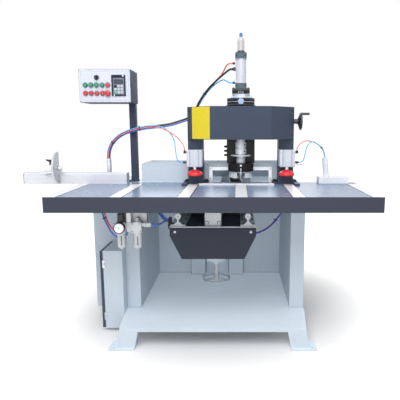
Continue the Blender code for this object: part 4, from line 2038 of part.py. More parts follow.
    side_half = FEED_SIDE / 2
    centre_z = FEED_BOTTOM + side_half
    cylinder = box(
        "feed_cylinder", (KNEE_X - side_half, FEED_FRONT, FEED_BOTTOM),
        (KNEE_X + side_half, FEED_FRONT + FEED_CAP, FEED_BOTTOM + FEED_SIDE), ALUMINIUM, BITE / 2,
    )
    barrel_half = FEED_BARREL_SIDE / 2
    feed_back = FEED_FRONT + FEED_LENGTH
    barrel = box(
        "feed_barrel", (KNEE_X - barrel_half, FEED_FRONT + BITE, centre_z - barrel_half),
        (KNEE_X + barrel_half, feed_back - BITE, centre_z + barrel_half), None, OVERRUN,
    )
    rear_cap = box(
        "feed_rear_cap", (KNEE_X - side_half, feed_back - FEED_CAP, FEED_BOTTOM),
        (KNEE_X + side_half, feed_back, FEED_BOTTOM + FEED_SIDE),
    )
    feet = boxes("feed_feet", [
        ((KNEE_X - side_half + BITE, y, KNEE_TOP + SEAT),
         (KNEE_X + side_half - BITE, y + FEED_FOOT, FEED_BOTTOM + BITE))
        for y in (FEED_FRONT + BITE, feed_back - FEED_FOOT - BITE)
    ])
    corner = side_half - FEED_BOLT_INSET
    bolts = rods("feed_bolts", [
        ((KNEE_X + across * corner, FEED_FRONT + BITE, centre_z + up * corner), (0, -1, 0),
         FEED_BOLT_RADIUS, FEED_BOLT_HEAD + BITE)
        for across in (-1, 1)
        for up in (-1, 1)
    ], SMALL_SIDES)
    rod_bore = rod(
        "feed_bore", (KNEE_X, feed_back + OVERRUN, centre_z), (0, -1, 0),
        FEED_ROD_RADIUS + SHAFT_PLAY, OVERRUN + FEED_ROD_INSIDE + FEED_TRAVEL + BITE,
    )
    join(cylinder, [barrel, rear_cap, feet, bolts])
    cut(cylinder, [rod_bore])


def feed_carriage():
    """Plate on four open bearings that carries the horizontal motor and the feed rod."""
    back = CARRIAGE_FRONT + CARRIAGE_LENGTH
    top = CARRIAGE_BOTTOM + CARRIAGE_THICKNESS
    carriage = box(
        "feed_carriage", (KNEE_X - CARRIAGE_HALF, CARRIAGE_FRONT, CARRIAGE_BOTTOM),
        (KNEE_X + CARRIAGE_HALF, back, top), BLACK_METAL, BITE / 2,
    )
    rail_spots = [KNEE_X - RAIL_OFFSET, KNEE_X + RAIL_OFFSET]
    bearing_starts = (CARRIAGE_FRONT + BEARING_INSET, back - BEARING_INSET - BEARING_LENGTH)
    blocks = boxes("bearing_blocks", [
        ((x - BEARING_HALF, y, BEARING_BOTTOM), (x + BEARING_HALF, y + BEARING_LENGTH,
                                                 CARRIAGE_BOTTOM + BITE))
        for x in rail_spots
        for y in bearing_starts
    ])
    bores = rods("bearing_bores", [
        ((x, CARRIAGE_FRONT - OVERRUN, RAIL_Z), (0, 1, 0), RAIL_RADIUS + SHAFT_PLAY,
         CARRIAGE_LENGTH + OVERRUN * 2)
        for x in rail_spots
    ], MIDDLE_SIDES)
    slots = boxes("bearing_slots", [
        ((x - BEARING_SLOT_HALF, CARRIAGE_FRONT - OVERRUN, BEARING_BOTTOM - OVERRUN),
         (x + BEARING_SLOT_HALF, back + OVERRUN, RAIL_Z))
        for x in rail_spots
    ])
    centre_z = FEED_BOTTOM + FEED_SIDE / 2
    lug = box(
        "rod_lug", (KNEE_X - ROD_LUG_HALF, CARRIAGE_FRONT, centre_z - ROD_LUG_HALF),
        (KNEE_X + ROD_LUG_HALF, CARRIAGE_FRONT + ROD_LUG_THICKNESS, CARRIAGE_BOTTOM + BITE),
    )
    feed_back = FEED_FRONT + FEED_LENGTH
    feed_rod = rod(
        "feed_rod", (KNEE_X, feed_back - FEED_ROD_INSIDE, centre_z), (0, 1, 0), FEED_ROD_RADIUS,
        CARRIAGE_FRONT + BITE - feed_back + FEED_ROD_INSIDE,
    )
    cradle_bottom = MOTOR_Z - MOTOR_RADIUS + OVERRUN
    cradle = box(
        "motor_cradle",
        (MOTOR_X - CRADLE_HALF, MOTOR_FRONT + MOTOR_LENGTH * CRADLE_FRONT_SHARE, top - BITE),
        (MOTOR_X + CRADLE_HALF, MOTOR_FRONT + MOTOR_LENGTH * CRADLE_BACK_SHARE,
         cradle_bottom + OVERRUN * 3),
    )
    seat = rod(
        "motor_seat", (MOTOR_X, MOTOR_FRONT - OVERRUN, MOTOR_Z), (0, 1, 0), MOTOR_RADIUS + MOTOR_PLAY,
        MOTOR_LENGTH + OVERRUN * 2,
    )
    join(carriage, [blocks, lug, feed_rod, cradle])
    cut(carriage, [bores, slots, seat])

    length = MOTOR_LENGTH
    profile = [(0, length + NOSE_LENGTH), (NOSE_RADIUS, length + NOSE_LENGTH), (NOSE_RADIUS, length)]
    pitch = length / (MOTOR_FINS + 1)
    profile += [(MOTOR_RADIUS - BITE, length), (MOTOR_RADIUS, length - BITE)]
    for i in range(MOTOR_FINS):
        height = length - pitch * (i + 1)
        profile += [
            (MOTOR_RADIUS, height + BITE * 2), (MOTOR_RADIUS - MOTOR_FIN_DEPTH, height + BITE * 2),
            (MOTOR_RADIUS - MOTOR_FIN_DEPTH, height - BITE), (MOTOR_RADIUS, height - BITE),
        ]
    profile += [(MOTOR_RADIUS, BITE), (MOTOR_RADIUS - BITE, 0), (0, 0)]
    turned(
        "mortise_motor", (MOTOR_X, MOTOR_FRONT + MOTOR_LENGTH, MOTOR_Z), (0, -1, 0), profile,
        ALUMINIUM, MIDDLE_SIDES,
    )
    turned("mortise_cutter", (MOTOR_X, MOTOR_FRONT - NOSE_LENGTH - SEAT, MOTOR_Z), (0, -1, 0), (
        (0, MORTISE_CHUCK_LENGTH + MORTISE_BIT_LENGTH),
        (MORTISE_BIT_RADIUS, MORTISE_CHUCK_LENGTH + MORTISE_BIT_LENGTH),
        (MORTISE_BIT_RADIUS, MORTISE_CHUCK_LENGTH),
        (MORTISE_CHUCK_RADIUS, MORTISE_CHUCK_LENGTH),
        (MORTISE_CHUCK_RADIUS, 0),
        (0, 0),
    ), STEEL, MIDDLE_SIDES)


def lift_handwheel():
    """Lifting screw with its thrust collar, hub, spokes, rim and spinner handle."""
    hub_half = LIFT_HUB_HEIGHT / 2
    collar_low = LIFT_ARM_TOP + SEAT
    wheel = turned("lift_handwheel", (LIFT_X, LIFT_Y, LIFT_WHEEL_Z), (0, 0, 1), (
        (0, LIFT_SCREW_TOP - LIFT_WHEEL_Z),
        (LIFT_SCREW_RADIUS - BITE, LIFT_SCREW_TOP - LIFT_WHEEL_Z),
        (LIFT_SCREW_RADIUS, LIFT_SCREW_TOP - LIFT_WHEEL_Z - BITE),
        (LIFT_SCREW_RADIUS, collar_low + LIFT_COLLAR_HEIGHT - LIFT_WHEEL_Z),
        (LIFT_COLLAR_RADIUS, collar_low + LIFT_COLLAR_HEIGHT - LIFT_WHEEL_Z),
        (LIFT_COLLAR_RADIUS, collar_low - LIFT_WHEEL_Z),
        (LIFT_SCREW_RADIUS, collar_low - LIFT_WHEEL_Z),
        (LIFT_SCREW_RADIUS, hub_half + BITE * 2),
        (LIFT_HUB_RADIUS, hub_half),
        (LIFT_HUB_RADIUS, -hub_half),
        (0, -hub_half),
    ), STEEL, MIDDLE_SIDES)
    rim_profile = arc((LIFT_WHEEL_RADIUS, 0), LIFT_RIM_RADIUS, 1, 0, 8)[:-1]
    rim = turned(
        "lift_rim", (LIFT_X, LIFT_Y, LIFT_WHEEL_Z), (0, 0, 1), rim_profile, steps=LIFT_RIM_STEPS
    )
    spokes = []
    for i in range(LIFT_SPOKES):
        angle = math.tau * (i + 0.75) / LIFT_SPOKES
        direction = (math.cos(angle), math.sin(angle), 0)
        spokes.append(rod(
            f"lift_spoke_{i}", (LIFT_X, LIFT_Y, LIFT_WHEEL_Z), direction, LIFT_SPOKE_RADIUS,
            LIFT_WHEEL_RADIUS, sides=SMALL_SIDES,
        ))
    handle = rod(
        "lift_handle", (LIFT_X - LIFT_WHEEL_RADIUS, LIFT_Y, LIFT_WHEEL_Z), (0, 0, 1),
        LIFT_HANDLE_RADIUS - BITE, LIFT_HANDLE_HEIGHT, sides=SMALL_SIDES,
        end_radius=LIFT_HANDLE_RADIUS,
    )
    join(wheel, spokes + [rim, handle])


def hoses():
    hose_bundle("left_hoses", LEFT_BUNDLE, LEFT_HOSES, LEFT_TIES)
    hose_bundle("head_hoses", HEAD_BUNDLE, HEAD_HOSES, HEAD_TIES)
    hose_bundle("right_hoses", RIGHT_BUNDLE, RIGHT_HOSES, RIGHT_TIES)
    hose_bundle("supply_hoses", SUPPLY_BUNDLE, SUPPLY_HOSES, SUPPLY_TIES)
    hose_bundle("knee_hoses_left", KNEE_LEFT_BUNDLE, KNEE_LEFT_HOSES, KNEE_LEFT_TIES)
    hose_bundle("knee_hoses_right", KNEE_RIGHT_BUNDLE, KNEE_RIGHT_HOSES, KNEE_RIGHT_TIES)


def shade_pieces():
    for item in MACHINE.objects:
        if item.type == "MESH" and item.data.polygons:
            item.data.shade_smooth()
            item.data.set_sharp_from_angle(angle=SMOOTH_ANGLE)


table_top()
base_frame()
side_walls()
rear_wall()
left_rear_housing()
electrical_cabinet()
rear_cabinet()
gantry_frame()
beam_cover()
clamps()
head()
traverse_handwheel()
operator_box()
length_stop()
stand_pipes()
air_unit()
knee()
feed_carriage()
lift_handwheel()
hoses()
shade_pieces()
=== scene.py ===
import math

import bmesh
import bpy
from mathutils import Matrix, Vector


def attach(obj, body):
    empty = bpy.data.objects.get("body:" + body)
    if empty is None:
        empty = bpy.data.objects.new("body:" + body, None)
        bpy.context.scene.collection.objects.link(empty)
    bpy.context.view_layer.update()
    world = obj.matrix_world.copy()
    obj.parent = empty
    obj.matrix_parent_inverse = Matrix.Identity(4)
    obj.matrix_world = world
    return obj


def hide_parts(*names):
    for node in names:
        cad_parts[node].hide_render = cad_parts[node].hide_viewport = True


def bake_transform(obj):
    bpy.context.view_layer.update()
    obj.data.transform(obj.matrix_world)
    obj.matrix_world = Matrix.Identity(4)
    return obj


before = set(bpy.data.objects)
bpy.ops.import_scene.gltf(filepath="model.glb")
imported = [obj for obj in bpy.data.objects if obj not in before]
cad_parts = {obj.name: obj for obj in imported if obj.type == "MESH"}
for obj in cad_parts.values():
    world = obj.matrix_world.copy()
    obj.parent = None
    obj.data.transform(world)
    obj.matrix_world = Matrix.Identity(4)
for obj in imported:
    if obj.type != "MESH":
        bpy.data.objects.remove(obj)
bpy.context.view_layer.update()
scene = bpy.context.scene
scene.view_settings.view_transform = "Standard"

# The solids' own datum: the table's front edge under the router's axis, on the floor
SHIFT = Vector((0.288, -0.5785, 0.0))
SIDES = (-1, 1)
UP, DOWN = (0, 0, 1), (0, 0, -1)
AHEAD, BEHIND = (0, -1, 0), (0, 1, 0)

# Camera
CAMERA_TILT = 9.15
camera = bpy.data.objects.new("camera", bpy.data.cameras.new("camera"))
camera.data.lens = 40.5
camera.data.sensor_width = 36.0
camera.data.shift_x = -0.093
camera.data.clip_end = 100.0
camera.location = (0.268, -2.6505, 1.1706)
camera.rotation_euler = (math.radians(90 - CAMERA_TILT), 0.0, 0.0)
scene.collection.objects.link(camera)
scene.camera = camera


# Node materials
def linear(hexcode):
    """A screen colour as the linear one that the shader takes."""
    values = [int(hexcode[i:i + 2], 16) / 255 for i in (0, 2, 4)]
    return tuple(v / 12.92 if v <= 0.04045 else ((v + 0.055) / 1.055) ** 2.4 for v in values)


class Graph:
    """Builds the node tree of a material or a world."""

    def __init__(self, owner):
        owner.use_nodes = True
        self.tree = owner.node_tree

    def feed(self, socket, value):
        if isinstance(value, bpy.types.NodeSocket):
            self.tree.links.new(value, socket)
        else:
            socket.default_value = value

    def node(self, kind, inputs=(), **settings):
        """A new node, with a value or a socket for each of the given inputs."""
        made = self.tree.nodes.new("ShaderNode" + kind)
        for key, value in settings.items():
            setattr(made, key, value)
        for key, value in dict(inputs).items():
            self.feed(made.inputs[key], value)
        return made

    def math(self, operation, *values, clamp=False):
        return self.node("Math", enumerate(values), operation=operation, use_clamp=clamp).outputs[0]

    def vector(self, operation, *values):
        made = self.node("VectorMath", enumerate(values), operation=operation)
        scalar = operation in ("LENGTH", "DOT_PRODUCT", "DISTANCE")
        return made.outputs["Value" if scalar else "Vector"]

    def mix(self, mask, low, high, kind="FLOAT", blend="MIX"):
        first, result = {"FLOAT": (2, 0), "RGBA": (6, 2)}[kind]
        inputs = {0: mask, first: low, first + 1: high}
        return self.node("Mix", inputs, data_type=kind, blend_type=blend).outputs[result]

    def ramp(self, value, low, high, to=(0.0, 1.0), **settings):
        return self.node("MapRange", {
            "Value": value, "From Min": low, "From Max": high, "To Min": to[0], "To Max": to[1],
        }, **settings).outputs["Result"]

    def either(self, *masks):
        total = masks[0]
        for mask in masks[1:]:
            total = self.math("MAXIMUM", total, mask)
        return total

    def rays(self, *kinds):
        """1 for rays of the given kinds."""
        path = self.node("LightPath")
        return self.either(*[path.outputs[f"Is {kind} Ray"] for kind in kinds])


class Surface(Graph):
    """One Principled material, in the row frame's metres."""

    def __init__(self, name, colour, rough, metal=0.0, specular=0.5, coat=0.0):
        self.material = bpy.data.materials.new(name)
        super().__init__(self.material)
        self.shader = self.tree.nodes["Principled BSDF"]
        self.shader.inputs["Specular IOR Level"].default_value = specular
        if coat:
            self.shader.inputs["Coat Weight"].default_value = coat
            self.shader.inputs["Coat Roughness"].default_value = 0.12
        coords = self.node("TexCoord")
        self.place = coords.outputs["Object"]
        self.facing = coords.outputs["Normal"]
        self.colour = (*linear(colour), 1.0)
        self.rough = rough
        self.metal = metal
        self.heights = []

    def noise(self, scale, detail=3.0, roughness=0.55, stretch=None):
        place = self.vector("MULTIPLY", self.place, stretch) if stretch else self.place
        return self.node("TexNoise", {
            "Scale": scale, "Detail": detail, "Roughness": roughness, "Vector": place,
        }).outputs["Fac"]

    def shaded(self, factor):
        """The colour so far, lighter or darker by a factor."""
        if isinstance(self.colour, bpy.types.NodeSocket):
            return self.mix(1.0, self.colour, (factor, factor, factor, 1.0), "RGBA", "MULTIPLY")
        return (*[min(1.0, value * factor) for value in self.colour[:3]], 1.0)

    def mottle(self, amount, scale, detail=3.0, stretch=None):
        """Slow variation of the colour, lighter and darker."""
        shade = self.ramp(self.noise(scale, detail, stretch=stretch), 0.3, 0.7)
        self.colour = self.mix(shade, self.shaded(1 - amount), self.shaded(1 + amount), "RGBA")
        return self

    def smudge(self, amount, scale, detail=4.0, stretch=None):
        """Variation of a gloss that is still one number."""
        shade = self.noise(scale, detail, 0.65, stretch)
        self.rough = self.ramp(shade, 0.3, 0.7, (max(0.02, self.rough - amount), self.rough + amount))
        return self

    def relief(self, scale, depth, detail=2.0, stretch=None):
        self.heights.append((self.noise(scale, detail, 0.5, stretch), depth))
        return self

    def within(self, low, high, toward=None):
        """1 inside a box of the row frame, and where the face looks that way."""
        low, high = Vector(low), Vector(high)
        offset = self.vector("SUBTRACT", self.place, (low + high) / 2)
        beyond = self.vector("SUBTRACT", self.vector("ABSOLUTE", offset), (high - low) / 2)
        x, y, z = self.node("SeparateXYZ", {0: beyond}).outputs
        mask = self.math("LESS_THAN", self.either(x, y, z), 0.0)
        if toward is None:
            return mask
        turned = self.vector("DOT_PRODUCT", self.facing, toward)
        return self.math("MULTIPLY", mask, self.math("GREATER_THAN", turned, 0.7))

    def inside(self, low, high, toward=None):
        """The same for a box given in the datum's coordinates."""
        return self.within(Vector(low) + SHIFT, Vector(high) + SHIFT, toward)

    def level(self, low, high, toward=None):
        """The same for all that lies between two heights."""
        return self.within((-2, -2, low), (2, 2, high), toward)

    def around(self, centre, axis, radius, inner=0.0, half=1.0):
        """1 within a radius of an axis along X, Y or Z, from the centre to half its length."""
        flat = [0.0 if letter == axis else 1.0 for letter in "XYZ"]
        offset = self.vector("SUBTRACT", self.place, Vector(centre) + SHIFT)
        distance = self.vector("LENGTH", self.vector("MULTIPLY", offset, flat))
        mask = self.math("LESS_THAN", distance, radius)
        if inner:
            mask = self.math("MULTIPLY", mask, self.math("GREATER_THAN", distance, inner))
        if half < 1.0:
            along = self.vector("DOT_PRODUCT", offset, [1.0 - f for f in flat])
            near = self.math("LESS_THAN", self.math("ABSOLUTE", along), half)
            mask = self.math("MULTIPLY", mask, near)
        return mask

    def patch(self, mask, colour, rough=None, metal=None):
        """Another colour and gloss where the mask is 1."""
        self.colour = self.mix(mask, self.colour, (*linear(colour), 1.0), "RGBA")
        if rough is not None:
            self.rough = self.mix(mask, self.rough, rough)
        if metal is not None:
            self.metal = self.mix(mask, self.metal, metal)
        return self

    def box(self, low, high, *finish):
        """A patch inside a box given in the datum's coordinates."""
        return self.patch(self.inside(low, high), *finish)

    def worn_and_highlit_edges(self, radius, colour, share):
        """Rubbed paint and a painted edge highlight, lighter where the rounded and the flat normals
        part.
        """
        bevel = self.node("Bevel", {"Radius": radius}, samples=4)
        flat = self.node("NewGeometry")
        match = self.vector("DOT_PRODUCT", bevel.outputs[0], flat.outputs["Normal"])
        edge = self.ramp(match, 0.995, 0.90, (0.0, share))
        breakup = self.ramp(self.noise(60.0, 4.0), 0.42, 0.62)
        self.colour = self.mix(self.math("MULTIPLY", edge, breakup), self.colour, colour, "RGBA")

    def done(self):
        above = {}
        for height, depth in self.heights:
            bump = self.node("Bump", {"Strength": 1.0, "Distance": depth, "Height": height, **above})
            above = {"Normal": bump.outputs[0]}
        final = {"Base Color": self.colour, "Roughness": self.rough, "Metallic": self.metal, **above}
        for key, value in final.items():
            self.feed(self.shader.inputs[key], value)
        return self.material


STAND = "c9d4de"
DARK = "3c4557"
DEEP = "282d39"
TABLE = "7c8fab"
PALE = "eceef2"
PANEL = "d0d5e2"
BLACK = "141519"
CAP = "3b4d56"
STEEL = "c8cacd"
SILVER = "d8dadf"
RED = "cb262d"
GREEN = "1a8c68"
YELLOW = "dfca0f"


def painted(name, colour, rough=0.46, wear=0.35):
    """Sprayed paint over steel sheet, with a fine orange peel."""
    item = Surface(name, colour, rough, specular=0.18)
    light = (*[min(1.0, c * 1.6 + 0.03) for c in item.colour[:3]], 1.0)
    item.mottle(0.025, 4.0).mottle(0.012, 40.0).smudge(0.06, 9.0)
    item.relief(420.0, 0.00006).relief(14.0, 0.00025, 1.0)
    # Lighter edges: rubbed paint, and a painted highlight along them
    item.worn_and_highlit_edges(0.0016, light, wear)
    return item


def plastic(name, colour, rough=0.35, coat=0.0):
    item = Surface(name, colour, rough, coat=coat)
    return item.mottle(0.03, 60.0).smudge(0.05, 40.0).relief(900.0, 0.00003)


def machined(name, colour, rough=0.30, metal=1.0, stretch=(1.0, 1.0, 30.0)):
    """Bare metal with the fine lines of its last cut."""
    item = Surface(name, colour, rough, metal)
    item.mottle(0.04, 12.0).mottle(0.05, 90.0, stretch=stretch).smudge(0.08, 30.0, stretch=stretch)
    return item.relief(160.0, 0.00002, 2.0, stretch)


def rubbery(name, colour, rough):
    return Surface(name, colour, rough).mottle(0.05, 25.0).smudge(0.08, 60.0).relief(500.0, 0.00002)


def built(name, mesh, material, angle=None):
    """The object of a finished bmesh, smooth up to an angle if one is given."""
    data = bpy.data.meshes.new(name)
    mesh.to_mesh(data)
    mesh.free()
    data.materials.append(material)
    if angle:
        data.shade_smooth()
        data.set_sharp_from_angle(angle=math.radians(angle))
    item = bpy.data.objects.new(name, data)
    scene.collection.objects.link(item)
    return item


# Air hoses and cables, on the routes of their solids
COLUMN_X = 0.257
COLUMN_FRONT = 0.497
CLAMP_WIDTH = 0.085
HEAD_Y = 0.455
SEAT = 0.0003
CABLE_RADIUS = 0.0055
AIR_RADIUS = 0.004
SLIM_RADIUS = 0.003
FITTING_X = COLUMN_X + CLAMP_WIDTH / 2 - 0.002 + 0.016
FITTING_END = FITTING_X + 0.0065
FITTING_TOP = 1.034 + 0.014 - 0.0065
FITTING_LOW = 0.978
CLAMP_Y = COLUMN_FRONT - SEAT - 0.0067 - 0.080 / 2
CLIP_X = -0.262
CLIP_TOP = 1.225 + 0.030 / 2
CLIP_SIDE = CLIP_X - 0.024 / 2
PORT_END = 0.062 / 2 + 0.010
SENSOR_END = 0.028 + 0.012
SENSOR_Y = 0.473
SENSOR_Z = 1.486
LOW_PORT = 1.412
HIGH_PORT = 1.514
SLAB = 0.850 - 0.012
SUPPLY_SEAT = 0.700
KNEE_BLOCK_X = -0.368
KNEE_BLOCK_Z = 0.703
WEB_BLOCK_X = 0.010
WEB_BLOCK_Y = 0.172
WEB_BLOCK_Z = 0.632
RIGHT_MOUTH = (0.498 - 0.012 * (1 - 0.008 / (0.998 - 0.850 - 0.040)), 0.535, 0.990)
LEFT_PIPE = (-0.797, 0.660)

# A bundle is the centre line that its hoses share. Each hose then has its kind, its radius, its
# offset from the centre line, how many of the line's points it follows, and its own way on.
LEFT_BUNDLE = (
    (-0.797, 0.66, 0.977 + SEAT), (-0.797, 0.66, 0.986), (-0.797, 0.66, 0.996),
    (-0.788, 0.655, 1.04), (-0.76, 0.638, 1.084), (-0.706, 0.604, 1.124),
    (-0.643, 0.574, 1.149), (-0.584, 0.567, 1.163), (-0.526, 0.573, 1.172),
    (-0.47, 0.585, 1.178), (-0.413, 0.597, 1.187), (-0.356, 0.608, 1.204),
    (-0.312, 0.614, 1.219), (-0.29, 0.615, 1.2245), (-0.282, 0.615, 1.2245),
    (CLIP_SIDE - SEAT, 0.615, 1.2245),
)
LEFT_HOSES = (
    ("cable", CABLE_RADIUS, (0.005, 0.005), 16, ()),
    ("red", AIR_RADIUS, (-0.005, 0.0065), 16, ()),
    ("blue", AIR_RADIUS, (-0.006, -0.003), 16, ()),
    ("coral", SLIM_RADIUS, (0.001, -0.0085), 9, (
        (-0.457, 0.551, 1.166), (-0.405, 0.527, 1.144), (-0.357, 0.497, 1.112),
        (-0.325, 0.466, 1.078), (-FITTING_X, CLAMP_Y, 1.056), (-FITTING_X, CLAMP_Y, 1.05),
        (-FITTING_X, CLAMP_Y, FITTING_TOP + SEAT),
    )),
    ("sky", SLIM_RADIUS, (0.0085, -0.0045), 9, (
        (-0.462, 0.56, 1.176), (-0.412, 0.538, 1.148), (-0.38, 0.51, 1.1),
        (-0.368, 0.48, 1.04), (-0.358, 0.457, 0.998), (-0.344, CLAMP_Y, 0.981),
        (-0.332, CLAMP_Y, FITTING_LOW), (-FITTING_END - SEAT, CLAMP_Y, FITTING_LOW),
    )),
)
HEAD_BUNDLE = (
    (CLIP_X, 0.612, CLIP_TOP + SEAT), (CLIP_X, 0.612, 1.25), (CLIP_X, 0.612, 1.26),
    (-0.254, 0.612, 1.292), (-0.236, 0.608, 1.325), (-0.208, 0.598, 1.364),
    (-0.174, 0.579, 1.401), (-0.14, 0.553, 1.43),
)
HEAD_HOSES = (
    ("cable", CABLE_RADIUS, (0.0, -0.008), 8, (
        (-0.106, 0.521, 1.456), (-0.079, 0.493, 1.474), (-0.061, SENSOR_Y, 1.484),
        (-0.05, SENSOR_Y, SENSOR_Z), (-SENSOR_END - SEAT, SENSOR_Y, SENSOR_Z),
    )),
    ("coral", AIR_RADIUS, (0.003, 0.003), 8, (
        (-0.107, 0.525, 1.464), (-0.088, 0.492, 1.492), (-0.074, 0.464, 1.509),
        (-0.056, HEAD_Y, 1.514), (-PORT_END - SEAT, HEAD_Y, HIGH_PORT),
    )),
    ("sky", AIR_RADIUS, (-0.006, 0.004), 7, (
        (-0.14, 0.549, 1.416), (-0.112, 0.523, 1.43), (-0.094, 0.495, 1.432),
        (-0.08, 0.47, 1.422), (-0.058, HEAD_Y, 1.412), (-PORT_END - SEAT, HEAD_Y, LOW_PORT),
    )),
)
RIGHT_BUNDLE = (
    (RIGHT_MOUTH[0], RIGHT_MOUTH[1], RIGHT_MOUTH[2] + SEAT), (0.4859, 0.535, 0.999),
    (0.4848, 0.535, 1.009), (0.48, 0.533, 1.03), (0.464, 0.525, 1.056),
    (0.437, 0.512, 1.078), (0.402, 0.497, 1.092),
)
RIGHT_HOSES = (
    ("coral", SLIM_RADIUS, (0.0, 0.004), 7, (
        (0.364, 0.478, 1.096), (0.334, 0.46, 1.083), (FITTING_X, CLAMP_Y, 1.058),
        (FITTING_X, CLAMP_Y, 1.05), (FITTING_X, CLAMP_Y, FITTING_TOP + SEAT),
    )),
    ("sky", SLIM_RADIUS, (0.0, -0.005), 7, (
        (0.376, 0.477, 1.07), (0.362, 0.462, 1.03), (0.354, 0.453, 0.998),
        (0.344, CLAMP_Y, 0.983), (0.332, CLAMP_Y, FITTING_LOW),
        (FITTING_END + SEAT, CLAMP_Y, FITTING_LOW),
    )),
)
SUPPLY_BUNDLE = (
    (-0.705, 0.175, SLAB - SEAT), (-0.705, 0.175, 0.829), (-0.705, 0.175, 0.82),
    (-0.698, 0.166, 0.775), (-0.68, 0.146, 0.725), (-0.656, 0.13, 0.684),
)
SUPPLY_HOSES = (
    ("red", AIR_RADIUS, (0.0, 0.0), 6, (
        (-0.634, 0.124, 0.662), (-0.612, 0.122, 0.652), (-0.594, 0.122, 0.664),
        (-0.588, 0.122, 0.684), (-0.588, 0.122, 0.692), (-0.588, 0.122, SUPPLY_SEAT - SEAT),
    )),
    ("blue", AIR_RADIUS, (-0.01, 0.0), 6, (
        (-0.651, 0.123, 0.658), (-0.632, 0.122, 0.636), (-0.6, 0.122, 0.626),
        (-0.573, 0.122, 0.642), (-0.566, 0.122, 0.67), (-0.566, 0.122, 0.69),
        (-0.566, 0.122, SUPPLY_SEAT - SEAT),
    )),
)
KNEE_LEFT_BUNDLE = (
    (-0.452, 0.222, SLAB - SEAT), (-0.452, 0.222, 0.829), (-0.452, 0.222, 0.82),
    (-0.446, 0.219, 0.784), (-0.428, 0.209, 0.748), (-0.404, 0.195, 0.721),
    (-0.388, 0.186, 0.708), (-0.378, 0.183, KNEE_BLOCK_Z),
    (KNEE_BLOCK_X - SEAT, 0.183, KNEE_BLOCK_Z),
)
KNEE_LEFT_HOSES = (
    ("blue", AIR_RADIUS, (0.0045, 0.0), 9, ()),
    ("navy", AIR_RADIUS, (-0.0045, 0.0), 9, ()),
    ("blue", AIR_RADIUS, (0.0, 0.0), 0, (
        (-0.442 + SEAT, 0.09, 0.7), (-0.433, 0.09, 0.7),
        (-0.416, 0.094, 0.699), (-0.403, 0.111, 0.699), (-0.396, 0.134, 0.7),
        (-0.39, 0.156, 0.702), (-0.383, 0.169, KNEE_BLOCK_Z),
        (-0.376, 0.172, KNEE_BLOCK_Z), (KNEE_BLOCK_X - SEAT, 0.172, KNEE_BLOCK_Z),
    )),
)
KNEE_RIGHT_BUNDLE = (
    (0.246, 0.262, SLAB - SEAT), (0.246, 0.262, 0.829), (0.246, 0.262, 0.82),
    (0.24, 0.258, 0.786), (0.216, 0.245, 0.738), (0.18, 0.224, 0.694),
    (0.14, 0.2, 0.661), (0.098, 0.182, 0.642), (0.06, 0.174, 0.634),
    (0.028, WEB_BLOCK_Y, WEB_BLOCK_Z), (0.02, WEB_BLOCK_Y, WEB_BLOCK_Z),
    (WEB_BLOCK_X + SEAT, WEB_BLOCK_Y, WEB_BLOCK_Z),
)
KNEE_RIGHT_HOSES = (
    ("red", AIR_RADIUS, (0.0, 0.005), 12, ()),
    ("navy", AIR_RADIUS, (0.0, -0.005), 12, ()),
)
HOSE_FINISH = {
    kind: rubbery(f"hose_{kind}", colour, 0.45 if kind == "cable" else 0.28).done()
    for kind, colour in (
        ("cable", "16171c"), ("red", "dd5a62"), ("coral", "ee7d6c"),
        ("blue", "3668c8"), ("sky", "4fb2ee"), ("navy", "2a3f9e"),
    )
}
TIE_FINISH = plastic("hose_tie", "15161a", 0.4).done()
TIE_POINTS = 28
TUBE_SIDES = 12


def smooth_route(points, step):
    """Points spaced about evenly along a smooth curve through the given ones."""
    knots = [2 * points[0] - points[1]] + points + [2 * points[-1] - points[-2]]
    route = []
    for a, b, c, d in zip(knots, knots[1:], knots[2:], knots[3:]):
        pieces = max(1, round((c - b).length / step))
        for i in range(pieces):
            t = i / pieces
            even = 2 * b + (c - a) * t + (2 * a - 5 * b + 4 * c - d) * t * t
            route.append((even + (3 * b - a - 3 * c + d) * t * t * t) / 2)
    route.append(knots[-2])
    return route


def headings(route):
    """Each point of a route with the way that the route goes there."""
    for before, spot, after in zip(route[:1] + route, route, route[1:] + route[-1:]):
        yield spot, (after - before).normalized()


def beside(line, outward, backward):
    """The route that keeps a steady offset from a bundle's centre line."""
    route = []
    for spot, ahead in headings([Vector(point) for point in line]):
        out = ahead.cross(Vector(BEHIND)).normalized()
        route.append(spot + out * outward + out.cross(ahead) * backward)
    return route


def bridge(mesh, low, high):
    """Faces between two closed loops of equally many points."""
    for i in range(len(low)):
        j = (i + 1) % len(low)
        mesh.faces.new((low[i], low[j], high[j], high[i]))


def tube(name, route, radius, material):
    """A closed tube that follows a route without twisting."""
    mesh = bmesh.new()
    side = None
    rings = []
    for spot, ahead in headings(route):
        if side is None:
            side = ahead.orthogonal().normalized()
        side = (side - ahead * side.dot(ahead)).normalized()
        up = ahead.cross(side)
        rings.append([
            mesh.verts.new(spot + (side * math.cos(a) + up * math.sin(a)) * radius)
            for a in (math.tau * i / TUBE_SIDES for i in range(TUBE_SIDES))
        ])
    for low, high in zip(rings, rings[1:]):
        bridge(mesh, low, high)
    mesh.faces.new(list(reversed(rings[0])))
    mesh.faces.new(rings[-1])
    return built(name, mesh, material, 50)


